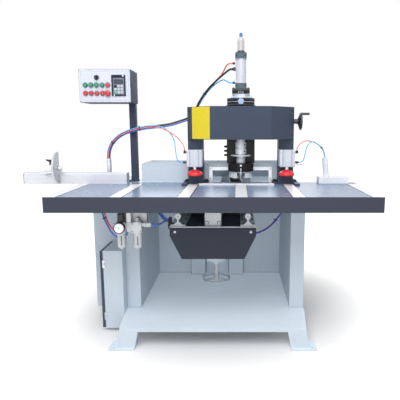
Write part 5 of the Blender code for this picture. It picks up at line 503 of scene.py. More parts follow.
def cable_tie(name, spots, ahead):
    """A strap round hoses at the given spots, with its lock."""
    ahead = ahead.normalized()
    side = ahead.orthogonal().normalized()
    up = ahead.cross(side)
    centre = sum((spot for _, spot in spots), Vector()) / len(spots)
    outline = []
    for i in range(TIE_POINTS):
        angle = math.tau * i / TIE_POINTS
        out = side * math.cos(angle) + up * math.sin(angle)
        outline.append((out, max((spot - centre).dot(out) + radius for radius, spot in spots)))
    mesh = bmesh.new()
    loops = [
        [mesh.verts.new(centre + ahead * along + out * (reach + extra)) for out, reach in outline]
        for along, extra in ((-0.0022, 0.0002), (-0.0022, 0.0013), (0.0022, 0.0013), (0.0022, 0.0002))
    ]
    for a, b in zip(loops, loops[1:] + loops[:1]):
        bridge(mesh, a, b)
    out, reach = outline[5]
    turned = Matrix((side, up, ahead)).transposed().to_4x4()
    size = Matrix.Diagonal((0.006, 0.005, 0.006, 1))
    lock = Matrix.Translation(centre + out * (reach + 0.003)) @ turned @ size
    bmesh.ops.create_cube(mesh, size=1.0, matrix=lock)
    bmesh.ops.recalc_face_normals(mesh, faces=mesh.faces)
    return built(name, mesh, TIE_FINISH)


def carry(item, body):
    """Joins an item to the frame, or only bakes its transform when a body that moves is given."""
    if body:
        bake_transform(item)
    else:
        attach(item, "frame")


def run_hoses(node, line, members, ties, body=None):
    """Every hose of one bundle as a free cord, and the ties that hold them."""
    routes = []
    for kind, radius, offset, count, rest in members:
        knots = beside(line, *offset)[:count] + [Vector(point) for point in rest]
        routes.append((kind, radius, [spot + SHIFT for spot in knots]))
    bands = []
    for number, index in enumerate(ties):
        spots = [(radius, knots[index]) for _, radius, knots in routes]
        heading = sum((knots[index + 1] - knots[index - 1] for _, _, knots in routes), Vector())
        bands.append(cable_tie(f"{node}_tie_{number}", spots, heading))
    for number, (kind, radius, knots) in enumerate(routes):
        path = smooth_route(knots, math.tau * radius * 0.5)
        item = tube(f"{node}_{number}_{kind}", path, radius, HOSE_FINISH[kind])
        carry(item, body)
        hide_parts(node)
    for band in bands:
        carry(band, body)


def spot(x, y, z):
    """A point given in the datum's coordinates, in the row frame's."""
    return (x + SHIFT.x, y + SHIFT.y, z)


run_hoses("left_hoses", LEFT_BUNDLE, LEFT_HOSES, (4, 7))
run_hoses(
    "head_hoses", HEAD_BUNDLE, HEAD_HOSES, (5,),
    "head",
)
run_hoses("right_hoses", RIGHT_BUNDLE, RIGHT_HOSES, (4,))
run_hoses("supply_hoses", SUPPLY_BUNDLE, SUPPLY_HOSES, (4,))
run_hoses(
    "knee_hoses_left", KNEE_LEFT_BUNDLE, KNEE_LEFT_HOSES, (),
    "knee",
)
run_hoses(
    "knee_hoses_right", KNEE_RIGHT_BUNDLE, KNEE_RIGHT_HOSES, (5,),
    "knee",
)


# Places that both the finishes and the small parts go by
RING_Z = 1.3083
LIFT_X, LIFT_Y = -0.148, 0.600
BOX_LEFT, BOX_LOW, BOX_FRONT = -0.893, 1.308, 0.480
BOX_WIDTH, BOX_HEIGHT = 0.284, 0.180


# Finishes of the solids that stay
def wear(surface, *nodes):
    """Puts one material on carried-over solids."""
    material = surface.done()
    for node in nodes:
        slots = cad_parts[node].data.materials
        slots.clear()
        slots.append(material)


def dress_stand():
    wear(painted("stand_finish", STAND), "base_frame", "left_rear_housing", "rear_cabinet")
    walls = painted("wall_finish", STAND)
    # Painted shade: a darker band along the foot of the walls, where they meet the deck
    walls.patch(walls.level(0.11, 0.1178), "87919a", 0.5)
    walls.patch(walls.either(*[
        walls.inside((edge - 0.0024, 1.0, 0.1), (edge + 0.0024, 1.125, 0.8))
        for centre in (-0.3015, -0.0285) for edge in (centre - 0.053, centre + 0.053)
    ]), "6f7982", 0.5)
    wear(walls, "left_side_wall", "right_side_wall", "rear_wall")
    wear(painted("frame_finish", DARK), "gantry_frame", "beam_cover")
    wear(painted("post_finish", "363e50", 0.5), "control_post")

    cabinet = painted("cabinet_finish", STAND)
    cabinet.box((-0.745, 0.39, 0.05), (-0.672, 0.64, 0.47), "4a4d52", 0.45)
    cabinet.box((-0.6795, 0.40, 0.05), (-0.6725, 0.62, 0.46), "d9d4c4", 0.4)
    cabinet.box((-0.79, 0.375, 0.0), (-0.765, 0.3898, 0.6), SILVER, 0.3, 0.8)
    wear(cabinet, "electrical_cabinet")
    door = painted("door_finish", "434c5c", 0.38)
    wear(door.box((-0.79, 0.375, 0.0), (-0.765, 0.3925, 0.6), SILVER, 0.3, 0.8), "cabinet_door")

    knee = painted("knee_finish", DEEP)
    knee.box((-0.38, 0.1095, 0.6812), (0.10, 0.1175, 0.70), "dfe3e8", 0.36)
    knee.box((-0.41, 0.125, 0.55), (0.13, 1.2, 0.6835), "23262d", 0.42)
    knee.patch(knee.around((LIFT_X, LIFT_Y, 0.6), "Z", 0.033, half=0.06), STEEL, 0.3, 0.9)
    wear(knee, "knee_platform")

    lid = Surface("lid_finish", STAND, 0.6, 0.0, 0.02).mottle(0.03, 5.0).smudge(0.04, 9.0)
    lid.patch(lid.inside((-0.566, 0.606, 0.9588), (0.280, 0.880, 0.961), UP), "969eb6", 0.7)
    wear(lid, "rear_cabinet_lid")


def dress_table():
    table = Surface("table_finish", TABLE, 0.26, 0.0, 0.35).mottle(0.04, 2.0).smudge(0.025, 4.0)
    side = table.math("SUBTRACT", 1.0, table.level(0.8490, 0.8512, UP))
    table.patch(side, "2b323f", 0.55, 0.0)
    table.patch(table.level(0.70, 0.8385, DOWN), STAND, 0.5)
    table.patch(table.level(0.8470, 0.8482, UP), "2b323f", 0.5, 0.0)

    half, back = 0.029, COLUMN_FRONT
    centres = (-0.930 + half, -0.590, -0.270, 0.0, 0.270, 0.670 - half)
    table.patch(table.either(*[
        table.inside((x - half, -0.001, 0.8490), (x + half, back, 0.8502), UP) for x in centres
    ]), PALE, 0.34, 0.0)
    # Painted shade: a dark line at the inner edge of each strip but the middle one, where the raised
    # strip would cast a shadow
    strip_shade_lines = [x - math.copysign(0.0305, x) for x in centres if x]
    table.patch(table.either(*[
        table.inside((x - 0.0024, -0.001, 0.8490), (x + 0.0024, back, 0.8512), UP) for x in strip_shade_lines
    ]), "1c2029", 0.9, 0.0)
    table.box((-0.240, 0.457, 0.8502), (0.191, 0.478, 0.860), SILVER, 0.30, 0.7)
    wear(table, "table_top")

    bright = machined("extrusion_finish", "d3d5dc", 0.42, 0.18, (0.05, 1.0, 1.0))
    bright.box((-0.6700, 0.4, 0.8), (-0.6688, 0.6, 1.0), "c4c7d2", 0.5, 0.1)
    bright.box((-1.2465, 0.4, 0.8), (-1.2430, 0.6, 1.0), "2a2c33", 0.5, 0.0)
    wear(bright, "fence")
    wear(machined("carriage_finish", "dddfe4", 0.36, 0.30), "stop_carriage")
    wear(machined("blade_finish", "c0c2c9", 0.34, 0.45), "flip_stop")
    wear(plastic("wing_finish", BLACK, 0.4), "wing_screw")


def dress_clamps():
    wear(machined("window_finish", "d9dde2", 0.36, 0.5), "window_frame")
    for name, side in (("left", -1), ("right", 1)):
        block = machined(f"{name}_clamp_finish", "c2c6d0", 0.46, 0.18, (1.0, 1.0, 0.05))
        low, high = sorted((side * 0.3000, side * 0.35))
        block.box((low, 0.3, 0.9), (high, 0.6, 1.1), BLACK, 0.4, 0.0)
        # Painted shade: a darker colour inside the block's two grooves
        for share in (-0.28, 0.28):
            x = side * COLUMN_X + CLAMP_WIDTH * share
            block.box((x - 0.0034, 0.4103, 0.9), (x + 0.0034, 0.4142, 1.1), "aeb4bf", 0.5, 0.1)
        wear(block, f"{name}_clamp_cylinder")
        pad = rubbery(f"{name}_pad_finish", "e2343b", 0.38)
        wear(pad.patch(pad.level(0.9382, 1.2), STEEL, 0.25, 0.9), f"{name}_clamp_pad")


def dress_control():
    box = painted("box_finish", "394257", 0.6)
    box.box((-0.8915, 0.4790, 1.3095), (-0.6105, 0.4815, 1.4865), PANEL, 0.38)
    box.box((-0.9, 0.460, 1.30), (-0.6, 0.4796, 1.49), "596070", 0.33, 0.4)
    left, low = BOX_LEFT + 0.180, BOX_LOW + 0.034
    box.box((left, 0.470, low), (left + 0.078, 0.4798, low + 0.115), "1f2636", 0.32, 0.0)
    wear(box, "control_box")
    for kind, colour, count in (("green", GREEN, 4), ("red", RED, 5)):
        for i in range(1, count + 1):
            wear(plastic(f"{kind}_{i}_finish", colour, 0.28, 0.3), f"{kind}_button_{i}")
    wear(plastic("mushroom_finish", "e63a40", 0.3, 0.3), "emergency_stop")
    wear(plastic("selector_finish", BLACK), "selector_switch")
    wear(machined("pipe_finish", "d3d4d9", 0.33, 0.6, (1.0, 1.0, 0.1)), "left_conduit")
    wear(painted("right_pipe_finish", "e4e6ec", 0.4), "right_conduit")

    air = machined("air_finish", "b4b7bb", 0.40, 0.35)
    air.box((-0.63, 0.1125, 0.69), (-0.45, 0.15, 0.84), "23252b", 0.4, 0.1)
    air.box((-0.5605, 0.07, 0.716), (-0.5385, 0.105, 0.762), "e6e7ea", 0.35, 0.1)
    wear(air, "filter_regulator")
    wear(plastic("gauge_case", BLACK, 0.3), "pressure_gauge")
    wear(plastic("knob_finish", "22242a", 0.45), "regulator_knob")


def dress_knee():
    wheel = machined("wheel_finish", "bac0c5", 0.42, 0.25)
    wear(wheel.patch(wheel.level(0.372, 0.7), "b3b7bb", 0.42, 0.3), "lift_handwheel")
    along = (1.0, 0.05, 1.0)
    wear(machined("rail_finish", "b4b8bc", 0.42, 0.3, along), "left_feed_rail", "right_feed_rail")
    wear(machined("feed_cylinder_finish", "b7babe", 0.45, 0.2, along), "feed_cylinder")
    wear(painted("feed_plate_finish", "15161a", 0.4), "feed_carriage")
    wear(machined("motor_finish", "a3a7ac", 0.45, 0.4), "mortise_motor")
    wear(machined("cutter_finish", STEEL, 0.22), "mortise_cutter")


def dress_head():
    head = painted("head_finish", "08090b", 0.42)
    for z, radius, half, *finish in (
        (RING_Z, 0.0748, 0.0024, "a9b0c0", 0.3, 0.5), (1.2945, 0.09, 0.0009, "6b7384", 0.35, 0.3),
        (1.3215, 0.09, 0.0009, "6b7384", 0.35, 0.3), (1.3385, 0.0735, 0.0107, "c3cad6", 0.28, 0.45),
    ):
        head.patch(head.around((0.0, HEAD_Y, z), "Z", radius, half=half), *finish)
    wear(head, "head_saddle")
    wear(painted("spindle_finish", "101116", 0.38), "spindle_carriage")

    cylinder = machined("cylinder_finish", "c8cbd6", 0.52, 0.08, (1.0, 1.0, 0.05))
    cylinder.patch(cylinder.either(*[
        cylinder.inside((-0.05, 0.40, low), (0.05, 0.51, high))
        for low, high in ((1.3803, 1.4083), (1.5363, 1.5785))
    ]), CAP, 0.36, 0.1)
    for low, high, *finish in (
        (1.3683, 1.3803, "30333b", 0.36, 0.2), (1.5785, 1.6503, "bdb8bb", 0.5, 0.12),
        (1.6503, 1.70, "3c77bf", 0.35, 0.0),
    ):
        cylinder.box((-0.05, 0.40, low), (0.05, 0.51, high), *finish)
    cylinder.box((-0.06, 0.40, 1.400), (-0.0312, 0.51, 1.53), BLACK, 0.36, 0.0)
    cylinder.box((-0.06, 0.463, 1.476), (-0.029, 0.484, 1.496), BLACK, 0.4, 0.0)
    wear(cylinder, "head_cylinder")
    wear(machined("sleeve_finish", "bfc1c8", 0.44, 0.45), "spindle_sleeve")
    clear = Surface("shroud_finish", "dde3e8", 0.16).mottle(0.04, 30.0).smudge(0.06, 40.0)
    clear.shader.inputs["Alpha"].default_value = 0.5
    wear(clear, "dust_shroud")
    wear(machined("bit_finish", "7c7f86", 0.26, 0.9), "router_bit")
    wear(plastic("crank_finish", "2b2f37", 0.40), "traverse_handwheel")


dress_stand()
dress_table()
dress_clamps()
dress_control()
dress_knee()
dress_head()


# Small parts that the photograph shows, made in the datum's coordinates
def turn(mesh, centre, axis, profile, sides=24, hexed=()):
    """Revolves (radius, height) points round an axis; the hexed ones keep six flats."""
    centre, ahead = Vector(centre), Vector(axis).normalized()
    side = ahead.orthogonal().normalized()
    up = ahead.cross(side)
    loops = []
    for number, (radius, height) in enumerate(profile):
        if number and (radius, height) == tuple(profile[0]):
            loops.append(loops[0])
            continue
        base = centre + ahead * height
        if radius == 0:
            loops.append([mesh.verts.new(base)])
            continue
        loop = []
        for i in range(sides):
            angle = math.tau * i / sides
            reach = radius
            if number in hexed:
                reach = radius * math.cos(math.pi / 6) / math.cos(angle % (math.pi / 3) - math.pi / 6)
            loop.append(mesh.verts.new(base + (side * math.cos(angle) + up * math.sin(angle)) * reach))
        loops.append(loop)
    for a, b in zip(loops, loops[1:]):
        for i in range(sides):
            j = (i + 1) % sides
            corners = [a[i % len(a)], a[j % len(a)], b[j % len(b)], b[i % len(b)]]
            face = [corner for k, corner in enumerate(corners) if corner not in corners[:k]]
            if len(face) > 2:
                mesh.faces.new(face)


def slab(mesh, low, high, edge=0.0, turned=None):
    """A block between two corners, with its edges rounded."""
    low, high = Vector(low), Vector(high)
    place = Matrix.Translation((low + high) / 2)
    if turned is not None:
        place = place @ turned
    made = bmesh.ops.create_cube(mesh, size=1.0, matrix=place @ Matrix.Diagonal((*(high - low), 1.0)))
    if edge:
        edges = list({item for vert in made["verts"] for item in vert.link_edges})
        bmesh.ops.bevel(
            mesh, geom=edges, offset=edge, segments=2, profile=0.5, affect="EDGES", clamp_overlap=True
        )


def sheet(mesh, corner, across, along, thickness, radius, steps=5):
    """A thin plate on two directions from one corner, with rounded corners."""
    corner, across, along = Vector(corner), Vector(across), Vector(along)
    wide, tall = across.length, along.length
    x, y = across.normalized(), along.normalized()
    out = x.cross(y)
    outline = []
    for centre, start in (((wide - radius, radius), -90), ((wide - radius, tall - radius), 0),
                          ((radius, tall - radius), 90), ((radius, radius), 180)):
        for i in range(steps + 1):
            angle = math.radians(start + 90 * i / steps)
            outline.append((centre[0] + radius * math.cos(angle), centre[1] + radius * math.sin(angle)))
    low, high = [
        [mesh.verts.new(corner + x * a + y * b + out * height) for a, b in outline]
        for height in (0.0, thickness)
    ]
    mesh.faces.new(high)
    mesh.faces.new(list(reversed(low)))
    bridge(mesh, low, high)


# Screw heads: points as shares of the radius and the height, sides, and which points are hexed
SOCKET_HEAD = (((1, 0), (1, 0.85), (0.88, 1), (0.52, 1), (0.5, 0.35), (0, 0.35)), 24, (3, 4))
PAN_HEAD = (
    ((1, 0), (1, 0.35), (0.9, 0.66), (0.68, 0.9), (0.46, 1), (0.43, 0.4), (0, 0.4)), 20, (4, 5),
)
HEX_HEAD = (
    ((1.45, 0), (1.45, 0.14), (1.4, 0.2), (1.1, 0.2), (1.1, 0.9), (0.86, 1), (0, 1)), 24, (3, 4),
)


def screw(mesh, head, seat, axis, radius, height):
    profile, sides, hexed = head
    turn(mesh, seat, axis, [(radius * a, height * b) for a, b in profile], sides, hexed)


def collet(mesh, seat, axis, inner, outer, neck, sink, shoulder, top, hexed=()):
    """A ring round a hose, sunk a little into its seat, with a chamfer at its top."""
    turn(mesh, seat, axis, (
        (inner, -sink), (outer, -sink), (outer, shoulder), (neck, top), (inner, top), (inner, -sink),
    ), 20, hexed)


FINISH = {
    "green": plastic("button_green", GREEN, 0.26, 0.3).done(),
    "red": plastic("button_red", RED, 0.26, 0.3).done(),
    "black": painted("dark_fastener", "23262c", 0.36, 0.5).done(),
    "bright": machined("bright_fastener", "d4d6da", 0.26, 0.85).done(),
    "grey": machined("zinc_fastener", "a6abb3", 0.34, 0.7).done(),
    "guard": machined("satin_metal", "babcc0", 0.44, 0.3).done(),
    "knob": machined("knob_metal", "93a8c8", 0.46, 0.25).done(),
    "white": plastic("white_plastic", "eef0f3", 0.35).done(),
    "label": plastic("label_finish", YELLOW, 0.40).done(),
    "line": plastic("panel_line", "8b93a6", 0.45).done(),
    "ring": plastic("collet_ring", "2c62c4", 0.35).done(),
}


def make(name, finish, slot, *shapes, body="frame", angle=32.0, replaced=None):
    """A piece that rides on a body, from shapes, each a function and what it takes."""
    mesh = bmesh.new()
    for shape, *terms in shapes:
        shape(mesh, *terms)
    bmesh.ops.recalc_face_normals(mesh, faces=mesh.faces)
    bmesh.ops.translate(mesh, verts=mesh.verts, vec=SHIFT)
    material = finish.done() if isinstance(finish, Surface) else FINISH[finish]
    item = built(name, mesh, material, angle)
    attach(item, body)
    if replaced:
        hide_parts(replaced)


def screws(name, finish, slot, head, size, axis, seats, body="frame"):
    """A piece of equal screws on the given seats."""
    make(name, finish, slot, *[(screw, head, seat, axis, *size) for seat in seats], body=body)


def gantry_details():
    run, corner = Vector((0.137, 0.1247, 0)), Vector((0.163, 0.372, 0))
    out = Vector((run.y, -run.x, 0)).normalized()
    fixings = []
    for side in SIDES:
        flip = Vector((side, 1, 1))
        x, y, _ = (corner + run * 0.93) * flip
        fixings += [(screw, PAN_HEAD, (x, y, z), out * flip, 0.0048, 0.0022) for z in (1.128, 1.262)]
    make("cover_screws", "black", "black_metal", *fixings)
    mirror = Vector((-1, 1, 1))
    x, y, _ = (corner + run * 0.79) * mirror + out * mirror * 0.00005
    across = -run * 0.76 * mirror
    make("cover_plate", "label", "frame_paint",
         (sheet, (x, y, 1.1085), across, (0, 0, 0.173), 0.0005, 0.003))
    screws("column_bolts", "black", "black_metal", HEX_HEAD, (0.0088, 0.0096), UP, [
        (centre + way * 0.057, COLUMN_FRONT + 0.086 * share, 0.8622)
        for centre in (-COLUMN_X, COLUMN_X) for way in SIDES for share in (0.25, 0.75)
    ])
    screws("beam_screws", "black", "black_metal", SOCKET_HEAD, (0.0065, 0.005), BEHIND, [
        (side * x, 0.5831, z) for side in SIDES for z in (1.136, 1.254) for x in (COLUMN_X, 0.23)
    ])
    screws("window_screws", "grey", "aluminium", PAN_HEAD, (0.0036, 0.0016), AHEAD, [
        *[(x, 0.5767, 0.9313) for x in (-0.175, -0.06, 0.06, 0.175)],
        *[(side * 0.175, 0.5767, 0.872) for side in SIDES],
    ])


def clamp_details():
    for name, side in (("left", -1), ("right", 1)):
        seats = [
            (side * COLUMN_X + across * 0.035, 0.4101, z) for across in SIDES for z in (0.965, 1.038)
        ]
        screws(f"{name}_clamp_screws", "grey", "aluminium", SOCKET_HEAD, (0.0042, 0.0016), AHEAD, seats)
        make(
            f"{name}_collets", "black", "black_plastic",
            (collet, (side * FITTING_X, CLAMP_Y, FITTING_TOP), UP,
             0.0031, 0.0058, 0.005, 0.0004, 0.0016, 0.003),
            (collet, (side * FITTING_END, CLAMP_Y, FITTING_LOW), (side, 0, 0),
             0.0031, 0.0062, 0.0054, 0.0004, 0.0018, 0.0032),
        )
    make(
        "valve_lever", "grey", "aluminium",
        (slab, (0.3095, 0.435, 0.9655), (0.3145, 0.4425, 0.972), 0.001),
        (slab, (0.31, 0.4335, 0.9655), (0.344, 0.4375, 0.9705), 0.0015),
    )


def fluted_knob(mesh):
    """The ring's clamping knob, with six flutes round its rim."""
    front = 0.3795
    turn(mesh, (0, front, RING_Z), AHEAD, (
        (0.0055, 0), (0.0055, 0.004), (0.015, 0.004), (0.0168, 0.0055), (0.0168, 0.0115),
        (0.015, 0.0132), (0.007, 0.014), (0.006, 0.0128), (0, 0.0128),
    ), 36)
    for vert in mesh.verts:
        spoke = Vector((vert.co.x, 0, vert.co.z - RING_Z))
        if front - 0.012 <= vert.co.y <= front - 0.005 and spoke.length > 0.016:
            angle = math.atan2(spoke.z, spoke.x)
            spoke *= 1 - 0.1 * (0.5 - 0.5 * math.cos(6 * angle))
            vert.co = (spoke.x, vert.co.y, RING_Z + spoke.z)


def on_drum(x, z, radius, depth, *size):
    """A cap screw that points away from the head's axis."""
    out = Vector((x, -math.sqrt(radius ** 2 - x ** 2), 0)).normalized()
    return screw, SOCKET_HEAD, Vector((0, HEAD_Y, z)) + out * depth, out, *size


def head_details():
    make("ring_knob", "knob", "bright_steel", (fluted_knob,), body="head")
    screws("block_screws", "black", "black_metal", SOCKET_HEAD, (0.004, 0.0025), AHEAD,
           [(side * 0.0365, 0.408, 1.3585) for side in SIDES], "head")
    make("cylinder_screws", "black", "black_metal", *[
        (screw, SOCKET_HEAD, (side * 0.023, 0.4241, z), AHEAD, 0.0038, 0.0018)
        for z in (1.3945, 1.5508) for side in SIDES
    ], *[
        (screw, SOCKET_HEAD, (side * apart, HEAD_Y + back * deep, z), UP, *size)
        for side in SIDES for back in SIDES for apart, deep, z, *size in (
            (0.0395, 0.026, 1.3802, 0.0045, 0.0045), (0.023, 0.023, 1.5651, 0.0042, 0.004),
        )
    ], body="head")
    left = (-1, 0, 0)
    make("cylinder_collets", "black", "black_plastic", *[
        (collet, (-PORT_END, HEAD_Y, z), left, 0.0041, 0.0068, 0.0058, 0.0005, 0.0022, 0.0036)
        for z in (LOW_PORT, HIGH_PORT)
    ], (
        collet, (-SENSOR_END, SENSOR_Y, SENSOR_Z), left,
        0.0056, 0.0086, 0.0074, 0.0005, 0.005, 0.0066, (1, 2),
    ), body="head")

    make("carriage_screws", "black", "black_metal", *[
        on_drum(x, z, 0.0715, 0.0702, 0.003, 0.0028)
        for x, z in ((-0.02, 0.964), (0.02, 0.964), (-0.052, 0.953), (0.052, 0.953))
    ], *[
        (screw, SOCKET_HEAD, (x, 0.4902, z), AHEAD, 0.0048, 0.0036)
        for x in (-0.066, 0.066) for z in (1.165, 1.09, 1.0)
    ], body="spindle")
    make(
        "drum_nipple", "bright", "bright_steel",
        (turn, (0, 0.3838, 0.964), AHEAD, (
            (0.006, 0), (0.006, 0.002), (0.0038, 0.0026), (0.0038, 0.0055), (0.0026, 0.0075),
            (0, 0.008),
        ), 20),
        (turn, (0, 0.3822, 0.906), UP, (
            (0, 0), (0.0014, 0.0006), (0.0019, 0.003), (0.0019, 0.043), (0.0014, 0.044), (0, 0.044),
        ), 14),
        body="spindle",
    )
    make("sleeve_screws", "black", "black_metal", *[
        on_drum(0.02, z, 0.0315, 0.0307, 0.0038, 0.004) for z in (1.0405, 1.0755)
    ], body="spindle")


def box_corners(inset, y):
    """Four points in from the corners of the control box."""
    return [
        (x, y, z)
        for x in (BOX_LEFT + inset, BOX_LEFT + BOX_WIDTH - inset)
        for z in (BOX_LOW + inset, BOX_LOW + BOX_HEIGHT - inset)
    ]


def panel_details():
    inset, line, proud = 0.0105, 0.0009, 0.0002
    (x0, _, z0), _, _, (x1, _, z1) = box_corners(inset, BOX_FRONT)
    make("panel_border", "line", "panel_paint", *[
        (slab, (a, BOX_FRONT - proud, b), (c, BOX_FRONT + proud, d)) for a, b, c, d in (
            (x0, z0, x1, z0 + line), (x0, z1 - line, x1, z1),
            (x0, z0, x0 + line, z1), (x1 - line, z0, x1, z1),
        )
    ])
    screws("panel_screws", "grey", "aluminium", PAN_HEAD, (0.003, 0.0014), AHEAD,
           box_corners(0.0065, BOX_FRONT))

    left, low, outer = BOX_LEFT + 0.181, BOX_LOW + 0.035, BOX_FRONT - 0.006
    face = outer + 0.003
    make("keypad_sheet", plastic("keypad_grey", "6c7587", 0.42), "black_plastic", (
        sheet, (left + 0.0075, face, low + 0.0075), (0.061, 0, 0), (0, 0, 0.0905), 0.0006, 0.002,
    ))
    glass = plastic("display_glass", "262b3c", 0.16)
    for i in range(4):
        x = left + 0.0205 + 0.0095 * i
        digit, hollow = [
            glass.inside((x + a, 0.46, low + b), (x + c, 0.49, low + d))
            for a, b, c, d in ((0, 0.0735, 0.0058, 0.0815), (0.0014, 0.0747, 0.0044, 0.0803))
        ]
        glass.patch(glass.math("SUBTRACT", digit, hollow), "55607c", 0.3)
    make("display_window", glass, "black_plastic", (
        sheet, (left + 0.0125, face - 0.0006, low + 0.065), (0.051, 0, 0), (0, 0, 0.024), 0.0005, 0.0015,
    ))
    keys = {}
    for row in range(3):
        for column in range(3):
            x, z = left + 0.0125 + 0.018 * column, low + 0.0125 + 0.0165 * row
            corner = (x + 0.015, face - 0.0004, z + 0.013)
            keys[row, column] = (slab, (x, face - 0.0022, z), corner, 0.0012)
    green, dark = keys.pop((0, 0)), keys.pop((2, 0))
    make("keypad_keys", plastic("key_grey", "b6bcc8", 0.4), "black_plastic", *keys.values())
    make("keypad_key_dark", "black", "black_plastic", dark)
    make("keypad_key_green", plastic("key_green", "59b08c", 0.4), "green_plastic", green)
    make(
        "keypad_tabs", "white", "panel_paint",
        (sheet, (left + 0.06, outer, low + 0.1045), (0.008, 0, 0), (0, 0, 0.0075), 0.0004, 0.001),
        (sheet, (left + 0.01, outer, low + 0.0005), (0.0055, 0, 0), (0, 0, 0.0065), 0.0004, 0.001),
    )


def button_details():
    columns, rows = [0.035 + 0.031 * i for i in range(5)], (0.094, 0.0495)
    spots = [(x, z) for x in columns for z in rows] + [(0.099, 0.134)]
    ring_finish = machined("button_ring_finish", "767d8c", 0.28, 0.6)
    make("button_rings", ring_finish, "bright_steel", *[
        (turn, (BOX_LEFT + x, BOX_FRONT + 0.0006, BOX_LOW + z), AHEAD, (
            (0.0145, 0), (0.0145, 0.004), (0.0138, 0.0049), (0.0122, 0.005), (0.0113, 0.004),
            (0.0113, 0.001),
        ), 32) for x, z in spots
    ])
    bodies = [f"green_{i}" for i in range(1, 5)] + [f"red_{i}" for i in range(1, 6)]
    *places, last = [(x, z) for z in rows for x in columns]
    for body, (x, z) in zip(bodies, places):
        colour, number = body.split("_")
        node = f"{colour}_button_{number}"
        make(node + "_cap", colour, colour + "_plastic", (
            turn, (BOX_LEFT + x, BOX_FRONT + 0.012, BOX_LOW + z), AHEAD, (
                (0, 0), (0.0105, 0), (0.0105, 0.0243), (0.01, 0.0255), (0.0088, 0.0259), (0, 0.0256),
            ), 32,
        ), body=body, replaced=node)
    make("mushroom_cap", "red", "red_plastic", (
        turn, (BOX_LEFT + last[0], BOX_FRONT + 0.012, BOX_LOW + last[1]), AHEAD, (
            (0, 0), (0.0105, 0), (0.0105, 0.0205), (0.015, 0.0212), (0.0163, 0.0226),
            (0.0165, 0.0246), (0.0158, 0.027), (0.0138, 0.0292), (0.01, 0.031), (0.005, 0.0319),
            (0, 0.032),
        ), 40,
    ), body="mushroom", angle=50.0, replaced="emergency_stop")
    screws("box_back_screws", "grey", "aluminium", PAN_HEAD, (0.0036, 0.0016), BEHIND,
           box_corners(0.02, 0.66))


def stop_details():
    make("wing_boss", "bright", "aluminium", (
        turn, (-1.078, 0.478, 0.955), UP,
        ((0.0105, 0), (0.0105, 0.0056), (0.0098, 0.0063), (0.0072, 0.0063)), 28,
    ), body="stop")
    lean = (-0.012, 0, 0.1157)
    make("pipe_rims", "white", "panel_paint", *[
        (turn, centre, along, (
            (radius - 0.0014, 0.0003), (radius + 0.0005, 0.0003), (radius + 0.0005, -0.004),
            (radius, -0.0046), (radius - 0.0014, -0.0046), (radius - 0.0014, 0.0003),
        ), 32) for centre, along, radius in (
            ((*LEFT_PIPE, 0.985), UP, 0.015), ((0.486, 0.535, 0.998), lean, 0.016),
        )
    ])
    screws("post_screws", "black", "black_metal", SOCKET_HEAD, (0.0042, 0.0042), UP,
           [(-0.66, y, 0.8563) for y in (0.608, 0.645)])


GAUGE_X, GAUGE_Z = -0.589, 0.692
BOWLS = (GAUGE_X, -0.510)
AIR_Y, AIR_Z = 0.090, 0.700


def mark(mesh, degrees, y, reach, size):
    """A bar on the gauge's face, along a radius."""
    angle = math.radians(degrees)
    out, across = Vector((math.cos(angle), 0, math.sin(angle))), Vector(BEHIND)
    middle, half = Vector((GAUGE_X, y, GAUGE_Z)) + out * reach, Vector(size) / 2
    turned = Matrix((out, across, out.cross(across))).transposed().to_4x4()
    slab(mesh, middle - half, middle + half, turned=turned)


def bar(mesh, x, z, reach, angle, half, edge):
    """An upright bar on a bowl, at an angle round it."""
    out, half = Vector((math.cos(angle), math.sin(angle), 0)), Vector(half)
    middle = Vector((x, AIR_Y, z)) + out * reach
    slab(mesh, middle - half, middle + half, edge, Matrix.Rotation(angle, 4, "Z"))


def gauge_details():
    face = plastic("dial_finish", "f2f4f6", 0.3)
    face.patch(face.around((GAUGE_X, 0.0405, GAUGE_Z), "Y", 0.0168, inner=0.0162), "35383f")
    make("gauge_dial", face, "panel_paint", (
        turn, (GAUGE_X, 0.0415, GAUGE_Z), AHEAD,
        ((0, 0), (0.0228, 0), (0.0228, 0.0006), (0, 0.0006)), 40,
    ))
    make("gauge_needle", "black", "black_plastic", *[
        (mark, 225 - 270 * i / 20, 0.0408, 0.0208 - size / 2, (size, 0.0004, wide))
        for i in range(21) for size, wide in ((0.0026, 0.0004) if i % 5 else (0.0042, 0.0007),)
    ], (mark, 150, 0.0404, 0.005, (0.02, 0.0005, 0.0011)), (
        turn, (GAUGE_X, 0.0408, GAUGE_Z), AHEAD,
        ((0.0028, 0), (0.0028, 0.0012), (0.002, 0.0016), (0, 0.0016)), 16,
    ))
    make("gauge_rim", "black", "black_plastic", (turn, (GAUGE_X, 0.06, GAUGE_Z), AHEAD, (
        (0.0272, 0), (0.0272, 0.0195), (0.0262, 0.0212), (0.024, 0.0212), (0.0232, 0.0198),
        (0.0232, 0.018), (0.0271, 0.017), (0.0271, 0),
    ), 44))


